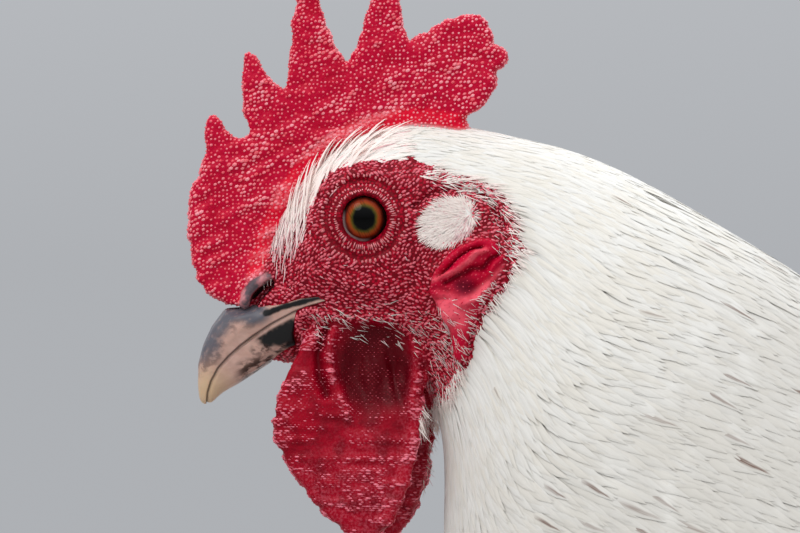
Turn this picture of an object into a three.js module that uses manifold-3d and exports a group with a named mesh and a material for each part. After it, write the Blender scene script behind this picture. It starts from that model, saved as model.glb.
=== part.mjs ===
// A life-size white farmyard rooster with a single comb and a black tail, standing and looking down.
//
// Millimetres, +Z up. The bird faces -Y and its left side is +X. Everything is laid out from the
// centre of the eyes: y grows towards the tail and z is the height above the eye, so the floor is at
// z = -EYE_HEIGHT. The finished group is moved at the end so that its origin is on the floor, under
// the centre of the bird's bounding box.

import * as THREE from 'three';
import { mergeVertices } from 'three/addons/utils/BufferGeometryUtils.js';
import Module from 'manifold-3d';

const wasm = await Module();
wasm.setup();

// ---------------------------------------------------------------- driving dimensions

const EYE_HEIGHT = 462;      // eye above the floor
const GAP = 0.3;             // clearance between two touching pieces
const FLOOR = -EYE_HEIGHT;

const EYEBALL_RADIUS = 7.5;
const EYEBALL_SIDE = 9.2;    // centre of an eyeball, out from the midline

const COMB_ROOT_THICKNESS = 9;
const COMB_TIP_THICKNESS = 3.4;
const COMB_TAPER_REACH = 34; // height over the head at which the comb reaches its tip thickness

const WATTLE_THICKNESS = 5;
const WATTLE_TOP_SIDE = 9.4; // middle of a wattle, out from the midline, at the jaw
const WATTLE_LOW_SIDE = 13;  // and at its lower edge
const LOBE_THICKNESS = 4.6;
const LOBE_SIDE = 20.2;

const WING_THICKNESS = 8;
const FOOT_SIDE = 42;        // middle of a foot, out from the midline
const FOOT_Y = 152;
const HOCK_HEIGHT = 116;
const FLAT_DEPTH = 0.9;      // how far the round toes are flattened where they meet the floor

const SKIN_RED = 0xb8142c;
const FEATHER_WHITE = 0xece9e2;
const FEATHER_BLACK = 0x17181c;
const HORN = 0xc9ab93;
const LEG_PINK = 0xe0b9a4;
const IRIS = 0x8a4a1c;

// ---------------------------------------------------------------- small helpers

const heightToZ = (height) => height - EYE_HEIGHT;
const lerp = THREE.MathUtils.lerp;
const clamp = THREE.MathUtils.clamp;
const radians = THREE.MathUtils.degToRad;
const vector = (x, y, z) => new THREE.Vector3(x, y, z);

function finish(color, roughness) {
  return new THREE.MeshStandardMaterial({ color, roughness, metalness: 0 });
}

const redSkin = finish(SKIN_RED, 0.5);
const whiteFeather = finish(FEATHER_WHITE, 0.85);
const blackFeather = finish(FEATHER_BLACK, 0.55);
const horn = finish(HORN, 0.4);
const legSkin = finish(LEG_PINK, 0.6);
const wetEye = finish(IRIS, 0.15);

// Closed rings of points, each with the same count, skinned and capped at both ends. The diagonals of
// the second half of a ring mirror those of the first, so a symmetric solid has symmetric facets.
function skinRings(rings) {
  const sides = rings[0].length;
  const positions = [];
  const triangles = [];
  for (const ring of rings) {
    for (const point of ring) {
      positions.push(point.x, point.y, point.z);
    }
  }
  for (let r = 0; r + 1 < rings.length; r++) {
    for (let s = 0; s < sides; s++) {
      const here = r * sides + s;
      const next = r * sides + ((s + 1) % sides);
      if (2 * s < sides) {
        triangles.push(here, next, next + sides, here, next + sides, here + sides);
      } else {
        triangles.push(here, next, here + sides, next, next + sides, here + sides);
      }
    }
  }
  for (const end of [0, rings.length - 1]) {
    const middle = new THREE.Vector3();
    rings[end].forEach((point) => middle.addScaledVector(point, 1 / sides));
    const pole = positions.length / 3;
    positions.push(middle.x, middle.y, middle.z);
    for (let s = 0; s < sides; s++) {
      const here = end * sides + s;
      const next = end * sides + ((s + 1) % sides);
      triangles.push(...(end === 0 ? [next, here, pole] : [here, next, pole]));
    }
  }
  return outwardSolid(positions, triangles);
}

// A manifold whose faces point outwards, whichever way its triangles were wound.
function outwardSolid(positions, triangles) {
  const wound = solidOf(positions, triangles);
  if (wound.volume() > 0) {
    return wound;
  }
  const flipped = [];
  for (let i = 0; i < triangles.length; i += 3) {
    flipped.push(triangles[i], triangles[i + 2], triangles[i + 1]);
  }
  return solidOf(positions, flipped);
}

function solidOf(positions, triangles) {
  return new wasm.Manifold(new wasm.Mesh({
    numProp: 3,
    vertProperties: new Float32Array(positions),
    triVerts: new Uint32Array(triangles),
  }));
}

// A three.js geometry as a manifold.
function solidFromGeometry(geometry) {
  const bare = geometry.clone();
  bare.deleteAttribute('normal');
  bare.deleteAttribute('uv');
  const merged = mergeVertices(bare, 1e-4);
  return outwardSolid(Array.from(merged.attributes.position.array), Array.from(merged.index.array));
}

function meshFromSolid(solid, name, material) {
  const data = solid.getMesh();
  const geometry = new THREE.BufferGeometry();
  geometry.setAttribute('position', new THREE.BufferAttribute(new Float32Array(data.vertProperties), 3));
  geometry.setIndex(new THREE.BufferAttribute(new Uint32Array(data.triVerts), 1));
  geometry.computeVertexNormals();
  const mesh = new THREE.Mesh(geometry, material);
  mesh.name = name;
  return mesh;
}

// The same solid on the other side of the midline.
const mirrored = (solid) => solid.mirror([1, 0, 0]);

// ---------------------------------------------------------------- ribs: head, neck and body

// A rib is an oval slice of the body: its upper (or rear) point, its lower (or front) point, both as
// [y, z], and its half-width. They run from the face down the neck to the root of the tail.
const BODY_RIBS = [
  { upper: [-25, -17], lower: [-21.5, -32], half: 5.6 },
  { upper: [-23.5, -8], lower: [-16.5, -32.6], half: 8.2 },
  { upper: [-19.5, 2], lower: [-10, -31.5], half: 11.8 },
  { upper: [-13, 12], lower: [-1, -31], half: 15.2 },
  { upper: [-3, 19.5], lower: [8, -32], half: 16.6 },
  { upper: [10, 23], lower: [13.5, -37], half: 17.4 },
  { upper: [22, 21.8], lower: [16.5, -45], half: 18.6 },
  { upper: [35, 19.2], lower: [18, -54], half: 20.6 },
  { upper: [50, 15.2], lower: [18.2, -66], half: 24.5 },
  { upper: [66, 8], lower: [17.5, -82], half: 30.5 },
  { upper: [84, -2.4], lower: [14, -101], half: 38 },
  { upper: [104, -15], lower: [9, -124], half: 47 },
  { upper: [125, -31], lower: [2, -149], half: 58 },
  { upper: [146, -53], lower: [-5, -178], half: 69 },
  { upper: [168, -80], lower: [-7, -211], half: 79 },
  { upper: [191, -104], lower: [4, -249], half: 85 },
  { upper: [215, -121], lower: [34, -284], half: 87 },
  { upper: [238, -130], lower: [76, -306], half: 85 },
  { upper: [260, -131], lower: [124, -316], half: 80 },
  { upper: [280, -125], lower: [174, -313], half: 72 },
  { upper: [297, -115], lower: [222, -297], half: 62 },
  { upper: [311, -104], lower: [262, -269], half: 49 },
  { upper: [323, -96], lower: [297, -230], half: 36 },
  { upper: [332, -95], lower: [319, -190], half: 24 },
  { upper: [337, -106], lower: [331, -158], half: 14 },
];
const RIB_SIDES = 20;
const SPLIT = 0.03;          // in ribs: it leaves at least GAP between two lengths of the body

const ribCount = BODY_RIBS.length - 1;
const HEAD_RIBS = [0, 6];
const NECK_RIBS = [6, 11];
const TRUNK_RIBS = [11, 19];
const RUMP_RIBS = [19, ribCount];
const WHOLE_BODY = [0, ribCount];
const upperLine = new THREE.CatmullRomCurve3(BODY_RIBS.map((rib) => vector(0, ...rib.upper)));
const lowerLine = new THREE.CatmullRomCurve3(BODY_RIBS.map((rib) => vector(0, ...rib.lower)));
const halfLine = new THREE.CatmullRomCurve3(BODY_RIBS.map((rib, i) => vector(rib.half, i * 20, 0)));

// One oval ring of the body at a rib number, which need not be whole, enlarged all round by grow.
function bodyRing(rib, grow) {
  const along = clamp(rib / ribCount, 0, 1);
  const upper = upperLine.getPoint(along);
  const lower = lowerLine.getPoint(along);
  const half = halfLine.getPoint(along).x + grow;
  const middle = upper.clone().add(lower).multiplyScalar(0.5);
  const chord = upper.clone().sub(middle);
  chord.setLength(chord.length() + grow);
  const ring = [];
  for (let s = 0; s < RIB_SIDES; s++) {
    const angle = (2 * Math.PI * s) / RIB_SIDES;
    const point = middle.clone().addScaledVector(chord, Math.cos(angle));
    point.x = half * Math.sin(angle);
    ring.push(point);
  }
  return ring;
}

// The rib numbers at which rings are drawn between two ribs: the small head has one between ribs too.
function ringStops([first, last]) {
  const stops = [first === 0 ? first : first + SPLIT / 2];
  const step = (rib) => (rib < HEAD_RIBS[1] ? 0.5 : 1);
  for (let rib = first + step(first); rib < last; rib += step(rib)) {
    stops.push(rib);
  }
  return [...stops, last === ribCount ? last : last - SPLIT / 2];
}

// A length of the body between two ribs. With grow it is enlarged all round and past both ends.
function bodyLength(ribs, grow = 0) {
  const rings = ringStops(ribs).map((rib) => bodyRing(rib, grow));
  rings[0].forEach((point) => { point.y -= grow; });
  rings.at(-1).forEach((point) => { point.y += grow; });
  return skinRings(rings);
}

const bodyCutter = bodyLength(WHOLE_BODY, GAP);

// ---------------------------------------------------------------- flat shapes: comb, wattles, lobes

// A plate with rounded rims, drawn as an outline of [y, z] points and given its thickness across x.
// sideAt and thicknessAt say where its middle lies and how thick it is at each place.
function plate(outline, { rim, sideAt, thicknessAt }) {
  const shape = new THREE.Shape(outline.map(([y, z]) => new THREE.Vector2(y, z)));
  const rimDepth = 0.3;      // share of the half thickness that the rounded rim takes
  const geometry = new THREE.ExtrudeGeometry(shape, {
    depth: 2 - 2 * rimDepth,
    bevelEnabled: true,
    bevelThickness: rimDepth,
    bevelSize: rim,
    bevelOffset: -rim,
    bevelSegments: 1,
  });
  const position = geometry.attributes.position;
  for (let i = 0; i < position.count; i++) {
    const y = position.getX(i);
    const z = position.getY(i);
    const across = position.getZ(i) - (1 - rimDepth);
    position.setXYZ(i, sideAt(y, z) + across * 0.5 * thicknessAt(y, z), y, z);
  }
  return solidFromGeometry(geometry);
}

// A smooth closed outline through a few points.
function smoothOutline(points, count) {
  const curve = new THREE.CatmullRomCurve3(points.map(([y, z]) => vector(y, z, 0)), true);
  const outline = [];
  for (let i = 0; i < count; i++) {
    const point = curve.getPoint(i / count);
    outline.push([point.x, point.y]);
  }
  return outline;
}

// The single comb in profile, from its lower front edge over its five points to its rear blade,
// and back through the head.
const COMB_OUTLINE = [
  [-27.6, -17.2], [-29.4, -20], [-31.6, -19.6], [-34.6, -17.6], [-37.6, -14.8], [-39.2, -9], [-39.6, -2],
  [-39.5, 4.3], [-39, 8.2], [-37.4, 9.2], [-36.5, 11.2], [-36.2, 17.6], [-35.9, 22.6], [-34.8, 24.3],
  [-33.4, 22.8], [-31, 19.6], [-26.3, 17.9], [-26.8, 22], [-27.8, 29], [-27.9, 36.6], [-26.7, 38.7],
  [-25, 37], [-22.6, 32.8], [-17.9, 29], [-17.3, 35], [-16.3, 42.5], [-15.1, 50], [-14.1, 57.2],
  [-13.1, 58.3], [-12.2, 56.6], [-10.6, 49.5], [-8.6, 43], [-6, 38.2], [-4, 35.2], [-2, 38.4],
  [0.2, 45], [2.2, 51], [4.4, 59.4], [5.5, 60.9], [6.6, 59.4], [7.9, 50], [8.6, 44.5], [9.7, 39.6],
  [12.4, 41.4], [18.3, 44.9], [23.4, 46.7], [26.6, 46.6], [28.3, 45.2], [28.9, 42], [28.7, 39.7],
  [31, 39.1], [32.9, 37.2], [31.8, 35.6], [30, 34.2], [29.6, 30], [27.4, 26.4], [23.6, 23.6],
  [19, 21.6], [10, 17], [0, 12], [-10, 2], [-18, -10], [-23, -14.5],
];
const COMB_ROOT = [[-22, -12], [-12, 6], [8, 19], [22, 21]];

function distanceToLine(y, z, line) {
  const point = new THREE.Vector3(y, z, 0);
  const distances = line.slice(1).map((end, i) => {
    const segment = new THREE.Line3(vector(...line[i], 0), vector(...end, 0));
    return segment.closestPointToPoint(point, true, vector(0, 0, 0)).distanceTo(point);
  });
  return Math.min(...distances);
}

function comb() {
  return plate(COMB_OUTLINE, {
    rim: 0.5,
    sideAt: () => 0,
    thicknessAt: (y, z) => lerp(
      COMB_ROOT_THICKNESS,
      COMB_TIP_THICKNESS,
      clamp(distanceToLine(y, z, COMB_ROOT) / COMB_TAPER_REACH, 0, 1),
    ),
  }).subtract(bodyCutter);
}

const WATTLE_OUTLINE = [
  [-9.4, -24], [-13.6, -27.8], [-17, -33.6], [-19.8, -41], [-20.8, -47], [-19.4, -52], [-16.8, -57.4],
  [-13, -62.6], [-8.4, -68.2], [-3, -72], [2, -73], [6.4, -69.2], [9.6, -61.4], [11.9, -51],
  [13.4, -43], [14.2, -35.5], [13.6, -28.6], [8, -22], [-1, -20.5],
];
const WATTLE_STEPS = 22;

const WATTLE_TOP = -24;
const WATTLE_BOTTOM = -73;
const RIGHT_WATTLE_SWING = { back: 3.6, drop: 1.4 }; // it hangs a little behind the left one

function wattle({ back, drop }) {
  const hung = WATTLE_OUTLINE.map(([y, z]) => [y + back, z - drop]);
  const down = (z) => clamp((WATTLE_TOP - z) / (WATTLE_TOP - WATTLE_BOTTOM), 0, 1);
  return plate(smoothOutline(hung, WATTLE_STEPS), {
    rim: 1,
    sideAt: (y, z) => lerp(WATTLE_TOP_SIDE, WATTLE_LOW_SIDE, down(z)),
    thicknessAt: () => WATTLE_THICKNESS,
  }).subtract(bodyCutter);
}

const LOBE_OUTLINE = [
  [33.2, -10.4], [28.4, -3.6], [23.6, -5.2], [18.8, -8.4], [15.3, -13.4], [15.2, -17.2], [17.8, -22.5],
  [19.4, -26], [20, -30.4], [21, -33.8], [22.6, -33.4], [23.4, -29], [24.6, -23.6], [27.4, -19.3],
  [31, -15.3],
];
const LOBE_STEPS = 18;

function earlobe() {
  return plate(smoothOutline(LOBE_OUTLINE, LOBE_STEPS), {
    rim: 0.4,
    sideAt: () => LOBE_SIDE,
    thicknessAt: () => LOBE_THICKNESS,
  }).subtract(bodyCutter);
}

// ---------------------------------------------------------------- eyes, ear tufts and beak

const SPHERE_AROUND = 12;
const SPHERE_UP = 9;

function ball(radius, middle, around = SPHERE_AROUND, up = SPHERE_UP) {
  const geometry = new THREE.SphereGeometry(radius, around, up);
  geometry.translate(middle.x, middle.y, middle.z);
  return solidFromGeometry(geometry);
}

const eyeMiddle = vector(EYEBALL_SIDE, 0, 0);
const eye = () => ball(EYEBALL_RADIUS, eyeMiddle);

function headWithSockets() {
  const socket = ball(EYEBALL_RADIUS + GAP, eyeMiddle);
  return bodyLength(HEAD_RIBS).subtract(socket).subtract(mirrored(socket));
}

// The tuft of small feathers over the ear hole: a low dome, longer than high, tilted up to the rear.
const EAR_TUFT = { middle: vector(17, 19.2, -0.7), sizes: vector(3.8, 7.6, 6), tilt: 38 };

function earTuft() {
  const geometry = new THREE.SphereGeometry(1, SPHERE_AROUND, SPHERE_UP);
  geometry.scale(EAR_TUFT.sizes.x, EAR_TUFT.sizes.y, EAR_TUFT.sizes.z);
  geometry.rotateX(radians(EAR_TUFT.tilt));
  geometry.translate(EAR_TUFT.middle.x, EAR_TUFT.middle.y, EAR_TUFT.middle.z);
  return solidFromGeometry(geometry).subtract(bodyCutter);
}

// Beak ribs follow the mouth line from its corner to the tip: the ridge or underside, the edge that
// meets the other half, and the half-width there.
const UPPER_BEAK = [
  { far: [-17, -17.4], mouth: [-13.2, -19.9], half: 9 },
  { far: [-22.5, -18.8], mouth: [-17.8, -21.8], half: 8.8 },
  { far: [-27.6, -20.5], mouth: [-22.4, -24.4], half: 8 },
  { far: [-31.7, -20.8], mouth: [-26.3, -27.1], half: 6.9 },
  { far: [-34.6, -24.6], mouth: [-29.6, -29.9], half: 5.6 },
  { far: [-36.6, -28.8], mouth: [-32.4, -32.7], half: 4.2 },
  { far: [-37.8, -33.4], mouth: [-34.5, -35.8], half: 3 },
  { far: [-37.7, -37.4], mouth: [-35.7, -38.6], half: 1.9 },
  { far: [-36.7, -41.3], mouth: [-36.1, -41.1], half: 0.5 },
];
const LOWER_BEAK = [
  { far: [-15.2, -29.2], mouth: [-13.2, -20.9], half: 8.6 },
  { far: [-18.6, -31.4], mouth: [-17.5, -22.5], half: 8 },
  { far: [-22.3, -33.3], mouth: [-21.9, -25.1], half: 7 },
  { far: [-25.8, -35.7], mouth: [-25.8, -27.8], half: 5.7 },
  { far: [-29.2, -37.9], mouth: [-29.2, -30.6], half: 4.4 },
  { far: [-32, -39.4], mouth: [-32, -33.5], half: 3.1 },
  { far: [-34, -40.2], mouth: [-34, -36.7], half: 1.9 },
  { far: [-35.4, -40.7], mouth: [-35.2, -39.6], half: 0.7 },
];
const BEAK_SIDES = 12;

// The ring is a half oval: widest and flat at the mouth line, arched over the ridge or underside.
function beakHalf(ribs) {
  return skinRings(ribs.map(({ far, mouth, half }) => {
    const ridge = vector(0, ...far);
    const edge = vector(0, ...mouth);
    const flat = 0.32;       // share of the depth below the widest place
    const ring = [];
    for (let s = 0; s < BEAK_SIDES; s++) {
      const angle = (2 * Math.PI * s) / BEAK_SIDES;
      const rise = Math.cos(angle);
      const depth = rise > 0 ? lerp(flat, 1, rise) : flat * (1 - Math.pow(-rise, 0.7));
      const point = edge.clone().lerp(ridge, depth);
      point.x = half * Math.sin(angle);
      ring.push(point);
    }
    return ring;
  }));
}

// ---------------------------------------------------------------- wings

// A folded wing in profile, from the wrist in the breast feathers to the tips of the flight feathers.
const WING_OUTLINE = [
  [26, -200], [40, -174], [72, -156], [116, -149], [160, -150], [204, -158], [246, -168], [284, -181],
  [312, -195], [296, -209], [264, -225], [222, -242], [176, -254], [126, -259], [76, -251], [40, -229],
];
const WING_STEPS = 20;
const WING_MIDDLE = [150, -204];

// The wing's rise over the body, from its buried rim, as shares of the outline's size and of the
// wing's thickness.
const WING_DOME = [
  { size: 1, rise: -0.6 }, { size: 0.985, rise: 0.3 }, { size: 0.85, rise: 0.8 }, { size: 0.5, rise: 1 },
];

const bodySide = new THREE.Raycaster();
const bodyMesh = meshFromSolid(bodyCutter, 'body_side', whiteFeather);

// How far the body's left side lies from the midline at a place seen from the side.
function bodySideAt(y, z) {
  bodySide.set(vector(500, y, z), vector(-1, 0, 0));
  return bodySide.intersectObject(bodyMesh)[0].point.x;
}

function wing() {
  const outline = smoothOutline(WING_OUTLINE, WING_STEPS);
  const [middleY, middleZ] = WING_MIDDLE;
  const rings = WING_DOME.map(({ size, rise }) => outline.map(([y, z]) => {
    const ringY = lerp(middleY, y, size);
    const ringZ = lerp(middleZ, z, size);
    return vector(bodySideAt(ringY, ringZ) + rise * WING_THICKNESS, ringY, ringZ);
  }));
  return skinRings(rings).subtract(bodyCutter);
}

// ---------------------------------------------------------------- vanes: tail feathers

// One long feather as a thin lens-shaped blade. Its quill starts at root, points up by angle degrees
// over the horizontal towards the tail, and bends by curl degrees on the way; splay is how far it
// moves outwards for each millimetre of length.
const VANE_STEPS = 6;
const TIP_CROWDING = 1.6;    // more than 1 draws the steps together towards the rounded tip

function vane({ y, z, side, angle, curl, length, width, thickness, splay }) {
  const rings = [];
  const point = vector(side, y, z);
  const stepAt = (i) => 1 - Math.pow(1 - i / VANE_STEPS, TIP_CROWDING);
  for (let i = 0; i <= VANE_STEPS; i++) {
    const along = stepAt(i);
    const heading = radians(angle + curl * Math.pow(along, 1.3));
    const forward = vector(0, Math.cos(heading), Math.sin(heading));
    const across = vector(0, -forward.z, forward.y);
    const fullness = Math.min(1, 0.5 + 1.4 * along) * Math.pow(1 - Math.pow(along, 7), 0.5);
    const halfWidth = Math.max(0.5 * width * fullness, 1);
    const halfDepth = Math.max(0.5 * thickness * (1 - 0.55 * along), 0.4);
    const corner = (sideways, outwards) => point.clone()
      .addScaledVector(across, sideways * halfWidth)
      .add(vector(outwards * halfDepth, 0, 0));
    rings.push([
      corner(1, 0), corner(0.5, 1), corner(-0.5, 1), corner(-1, 0), corner(-0.5, -1), corner(0.5, -1),
    ]);
    const step = length * (stepAt(Math.min(i + 1, VANE_STEPS)) - along);
    point.addScaledVector(forward, step);
    point.x += splay * step;
  }
  return skinRings(rings);
}

const joined = (solids) => solids.reduce((whole, solid) => whole.add(solid));

const TAIL_ROOT = { y: 304, z: -134 };

// The stiff main feathers of one side, fanned from nearly upright down to the level of the back.
const FAN = { count: 5, highAngle: 66, lowAngle: 14, length: 160, width: 46, side: 4, sideStep: 0.5 };

function tailFan() {
  const feathers = [];
  for (let i = 0; i < FAN.count; i++) {
    const down = i / (FAN.count - 1);
    feathers.push(vane({
      y: TAIL_ROOT.y - 4 * down,
      z: TAIL_ROOT.z + 16 - 44 * down,
      side: FAN.side + FAN.sideStep * i,
      angle: lerp(FAN.highAngle, FAN.lowAngle, down),
      curl: -12,
      length: FAN.length - 14 * down,
      width: FAN.width,
      thickness: 3.4,
      splay: 0.03 + 0.1 * down,
    }));
  }
  return joined(feathers).subtract(bodyCutter);
}

// The long sickle feather of one side, arching over the fan.
const SICKLE = {
  y: 303, z: -116, side: 16, angle: 82, curl: -148, length: 322, width: 30, thickness: 3.4, splay: 0.04,
};

// Lesser sickles and tail coverts, which hang over the sides of the fan.
const COVERTS = { count: 4, side: 21, sideStep: 0.5, length: 200, width: 28 };

function tailCoverts() {
  const feathers = [];
  for (let i = 0; i < COVERTS.count; i++) {
    const down = i / (COVERTS.count - 1);
    feathers.push(vane({
      y: TAIL_ROOT.y + 8 - 4 * down,
      z: TAIL_ROOT.z + 20 - 30 * down,
      side: COVERTS.side + COVERTS.sideStep * i,
      angle: lerp(60, 26, down),
      curl: lerp(-118, -92, down),
      length: COVERTS.length - 70 * down,
      width: COVERTS.width,
      thickness: 3.4,
      splay: 0.06 + 0.12 * down,
    }));
  }
  return joined(feathers).subtract(bodyCutter);
}

// ---------------------------------------------------------------- legs and feet

// A round limb through points, with a radius at each. Its underside is flattened at the floor.
function limb(points, radii, { sides = 12, steps = 6, from = 0, to = 1 } = {}) {
  const path = new THREE.CatmullRomCurve3(points);
  const size = new THREE.CatmullRomCurve3(radii.map((radius, i) => vector(radius, i * 10, 0)));
  const rings = [];
  for (let i = 0; i <= steps; i++) {
    const along = lerp(from, to, i / steps);
    const middle = path.getPoint(along);
    const radius = size.getPoint(along).x;
    const forward = path.getTangent(along);
    const aside = vector(1, 0, 0).cross(forward).lengthSq() > 0.05
      ? vector(1, 0, 0).addScaledVector(forward, -forward.x).normalize()
      : vector(0, 1, 0);
    const up = forward.clone().cross(aside).normalize();
    const ring = [];
    for (let s = 0; s < sides; s++) {
      const angle = (2 * Math.PI * s) / sides;
      const point = middle.clone()
        .addScaledVector(aside, radius * Math.cos(angle))
        .addScaledVector(up, radius * Math.sin(angle));
      point.z = Math.max(point.z, FLOOR);
      ring.push(point);
    }
    rings.push(ring);
  }
  return skinRings(rings);
}

// The feathered thigh, cut off where it grows out of the body, down to the hock.
function thigh() {
  return limb(
    [
      vector(37, 168, -266), vector(38, 170, -298), vector(40, 176, heightToZ(142)),
      vector(41, 184, heightToZ(HOCK_HEIGHT + 2)),
    ],
    [33, 35.5, 21, 10.5],
    { sides: 14, steps: 6 },
  ).subtract(bodyCutter).subtract(shank(GAP));
}

const hock = vector(41, 184, heightToZ(HOCK_HEIGHT));
const ankle = vector(FOOT_SIDE, FOOT_Y + 4, heightToZ(13));

function shank(grow = 0) {
  const middle = hock.clone().lerp(ankle, 0.5);
  return limb([hock, middle, ankle], [9.2 + grow, 6.6 + grow, 8 + grow]);
}

// Toes run out from the middle of the foot. Turns are in degrees from straight ahead, outwards.
const TOES = {
  inner: { turn: -40, length: 50, radius: 5.6, claw: 12 },
  middle: { turn: 2, length: 68, radius: 6, claw: 14 },
  outer: { turn: 38, length: 56, radius: 5.6, claw: 12 },
  hind: { turn: 168, length: 30, radius: 5, claw: 11 },
};
const TOE_BASE_REACH = 17;   // the toes are one web as far out as this
const CLAW_LIFT = 3.2;       // height of a claw's root above the floor
const CLAW_CLEARANCE = 0.9;  // from the middle of a toe's sloping end to its claw

function toePath({ turn, length, radius }) {
  const ahead = vector(Math.sin(radians(turn)), -Math.cos(radians(turn)), 0);
  const low = heightToZ(radius - FLAT_DEPTH);
  const root = vector(FOOT_SIDE, FOOT_Y, low + 3);
  const knuckle = root.clone().addScaledVector(ahead, length * 0.35).setZ(low + 1.2);
  const joint = root.clone().addScaledVector(ahead, length * 0.7).setZ(low);
  const tip = root.clone().addScaledVector(ahead, length).setZ(heightToZ(radius * 0.62 - FLAT_DEPTH * 0.4));
  return { ahead, tip, points: [root, knuckle, joint, tip] };
}

function toeRadii({ radius }) {
  return [radius * 1.15, radius, radius * 0.92, radius * 0.62];
}

function toe(kind) {
  const { points } = toePath(kind);
  const start = TOE_BASE_REACH / kind.length;
  return limb(points, toeRadii(kind), { from: start + GAP / kind.length, sides: 8, steps: 4 });
}

function foot() {
  const bases = Object.values(TOES).map((kind) => {
    const { points } = toePath(kind);
    return limb(points, toeRadii(kind), { to: TOE_BASE_REACH / kind.length, sides: 8, steps: 1 });
  });
  const pad = ball(9.5, vector(FOOT_SIDE, FOOT_Y, heightToZ(9.5)), 10, 6);
  return joined([pad, ...bases]).subtract(shank(GAP));
}

function claw(kind) {
  const { ahead, tip } = toePath(kind);
  const root = tip.clone().addScaledVector(ahead, CLAW_CLEARANCE).setZ(heightToZ(CLAW_LIFT));
  const middle = root.clone().addScaledVector(ahead, kind.claw * 0.55).setZ(heightToZ(CLAW_LIFT + 0.4));
  const point = root.clone().addScaledVector(ahead, kind.claw).setZ(heightToZ(0.9));
  return limb([root, middle, point], [2.7, 1.9, 0.5], { sides: 6, steps: 3 });
}

// The spur stands out of the rear inner side of the shank.
function spur() {
  const base = hock.clone().lerp(ankle, 0.66);
  const path = [vector(-3, 3, 0), vector(-9, 13, 1), vector(-12, 22, 6)].map((offset) => offset.add(base));
  return limb(path, [4, 3, 0.6], { sides: 8, steps: 4 }).subtract(shank(GAP));
}

// ---------------------------------------------------------------- the whole bird

const rooster = new THREE.Group();

function addPiece(name, solid, material) {
  rooster.add(meshFromSolid(solid, name, material));
}

function addPair(name, solid, material) {
  addPiece(`${name}_left`, solid, material);
  addPiece(`${name}_right`, mirrored(solid), material);
}

function addHead() {
  addPiece('head', headWithSockets(), redSkin);
  addPiece('comb', comb(), redSkin);
  addPiece('beak_upper', beakHalf(UPPER_BEAK).subtract(bodyCutter), horn);
  addPiece('beak_lower', beakHalf(LOWER_BEAK).subtract(bodyCutter), horn);
  addPair('eye', eye(), wetEye);
  addPair('ear_tuft', earTuft(), whiteFeather);
  addPair('earlobe', earlobe(), redSkin);
  addPiece('wattle_left', wattle({ back: 0, drop: 0 }), redSkin);
  addPiece('wattle_right', mirrored(wattle(RIGHT_WATTLE_SWING)), redSkin);
}

function addBody() {
  addPiece('neck', bodyLength(NECK_RIBS), whiteFeather);
  addPiece('trunk', bodyLength(TRUNK_RIBS), whiteFeather);
  addPiece('rump', bodyLength(RUMP_RIBS), whiteFeather);
  addPair('wing', wing(), whiteFeather);
}

function addTail() {
  addPair('tail_fan', tailFan(), blackFeather);
  addPair('tail_sickle', vane(SICKLE).subtract(bodyCutter), blackFeather);
  addPair('tail_coverts', tailCoverts(), blackFeather);
}

function addLegs() {
  addPair('thigh', thigh(), whiteFeather);
  addPair('shank', shank(), legSkin);
  addPair('foot', foot(), legSkin);
  addPair('spur', spur(), horn);
  for (const [name, kind] of Object.entries(TOES)) {
    addPair(`toe_${name}`, toe(kind), legSkin);
    addPair(`claw_${name}`, claw(kind), horn);
  }
}

addHead();
addBody();
addTail();
addLegs();

const extent = new THREE.Box3().setFromObject(rooster);
const middle = extent.getCenter(new THREE.Vector3());
rooster.position.set(-middle.x, -middle.y, -extent.min.z);

export default rooster;
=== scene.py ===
"""A life-size white rooster with a single red comb, in its plumage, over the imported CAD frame.

Everything is laid out in millimetres from the point midway between the eyes, as the CAD is: x grows to
the bird's left, y towards the tail and z upwards. The pieces are made as numpy arrays and turned into
metres in the frame only when they become Blender meshes.
"""

import math

import bpy
import numpy as np
import openvdb
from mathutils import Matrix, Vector
from mathutils.kdtree import KDTree


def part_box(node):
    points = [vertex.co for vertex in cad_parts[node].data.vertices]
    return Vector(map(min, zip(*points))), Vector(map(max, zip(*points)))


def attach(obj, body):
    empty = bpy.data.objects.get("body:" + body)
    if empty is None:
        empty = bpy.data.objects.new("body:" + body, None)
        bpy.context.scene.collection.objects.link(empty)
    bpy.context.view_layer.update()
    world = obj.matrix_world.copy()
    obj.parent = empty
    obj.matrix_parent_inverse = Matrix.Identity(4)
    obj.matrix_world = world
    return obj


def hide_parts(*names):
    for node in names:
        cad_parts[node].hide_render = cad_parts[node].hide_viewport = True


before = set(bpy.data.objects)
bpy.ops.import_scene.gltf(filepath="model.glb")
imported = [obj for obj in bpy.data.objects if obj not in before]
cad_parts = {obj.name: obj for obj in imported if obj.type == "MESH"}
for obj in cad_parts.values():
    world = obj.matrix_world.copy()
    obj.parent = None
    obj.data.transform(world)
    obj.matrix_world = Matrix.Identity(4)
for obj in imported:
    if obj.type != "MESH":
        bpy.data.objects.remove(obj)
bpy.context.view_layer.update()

MM = 0.001
EYEBALL_RADIUS = 7.5
eye_low, eye_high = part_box("eye_left")
EYE_ORIGIN = np.array([0, (eye_low.y + eye_high.y) / 2, (eye_low.z + eye_high.z) / 2])
EYE_SIDE = (eye_low.x + eye_high.x) / 2 / MM
FLOOR_Z = -EYE_ORIGIN[2] / MM
SIDES = (("left", 1), ("right", -1))
MASKS = ("comb", "wattle", "lobe", "leg", "white")   # the shares that the skin carries for its material


# ---------------------------------------------------------------- small mathematics

def smoothstep(low, high, value):
    share = np.clip((value - low) / (high - low), 0, 1)
    return share * share * (3 - 2 * share)


def mix(a, b, share):
    return a + (b - a) * share


def unit(vectors):
    return vectors / np.maximum(np.linalg.norm(vectors, axis=-1, keepdims=True), 1e-9)


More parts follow.
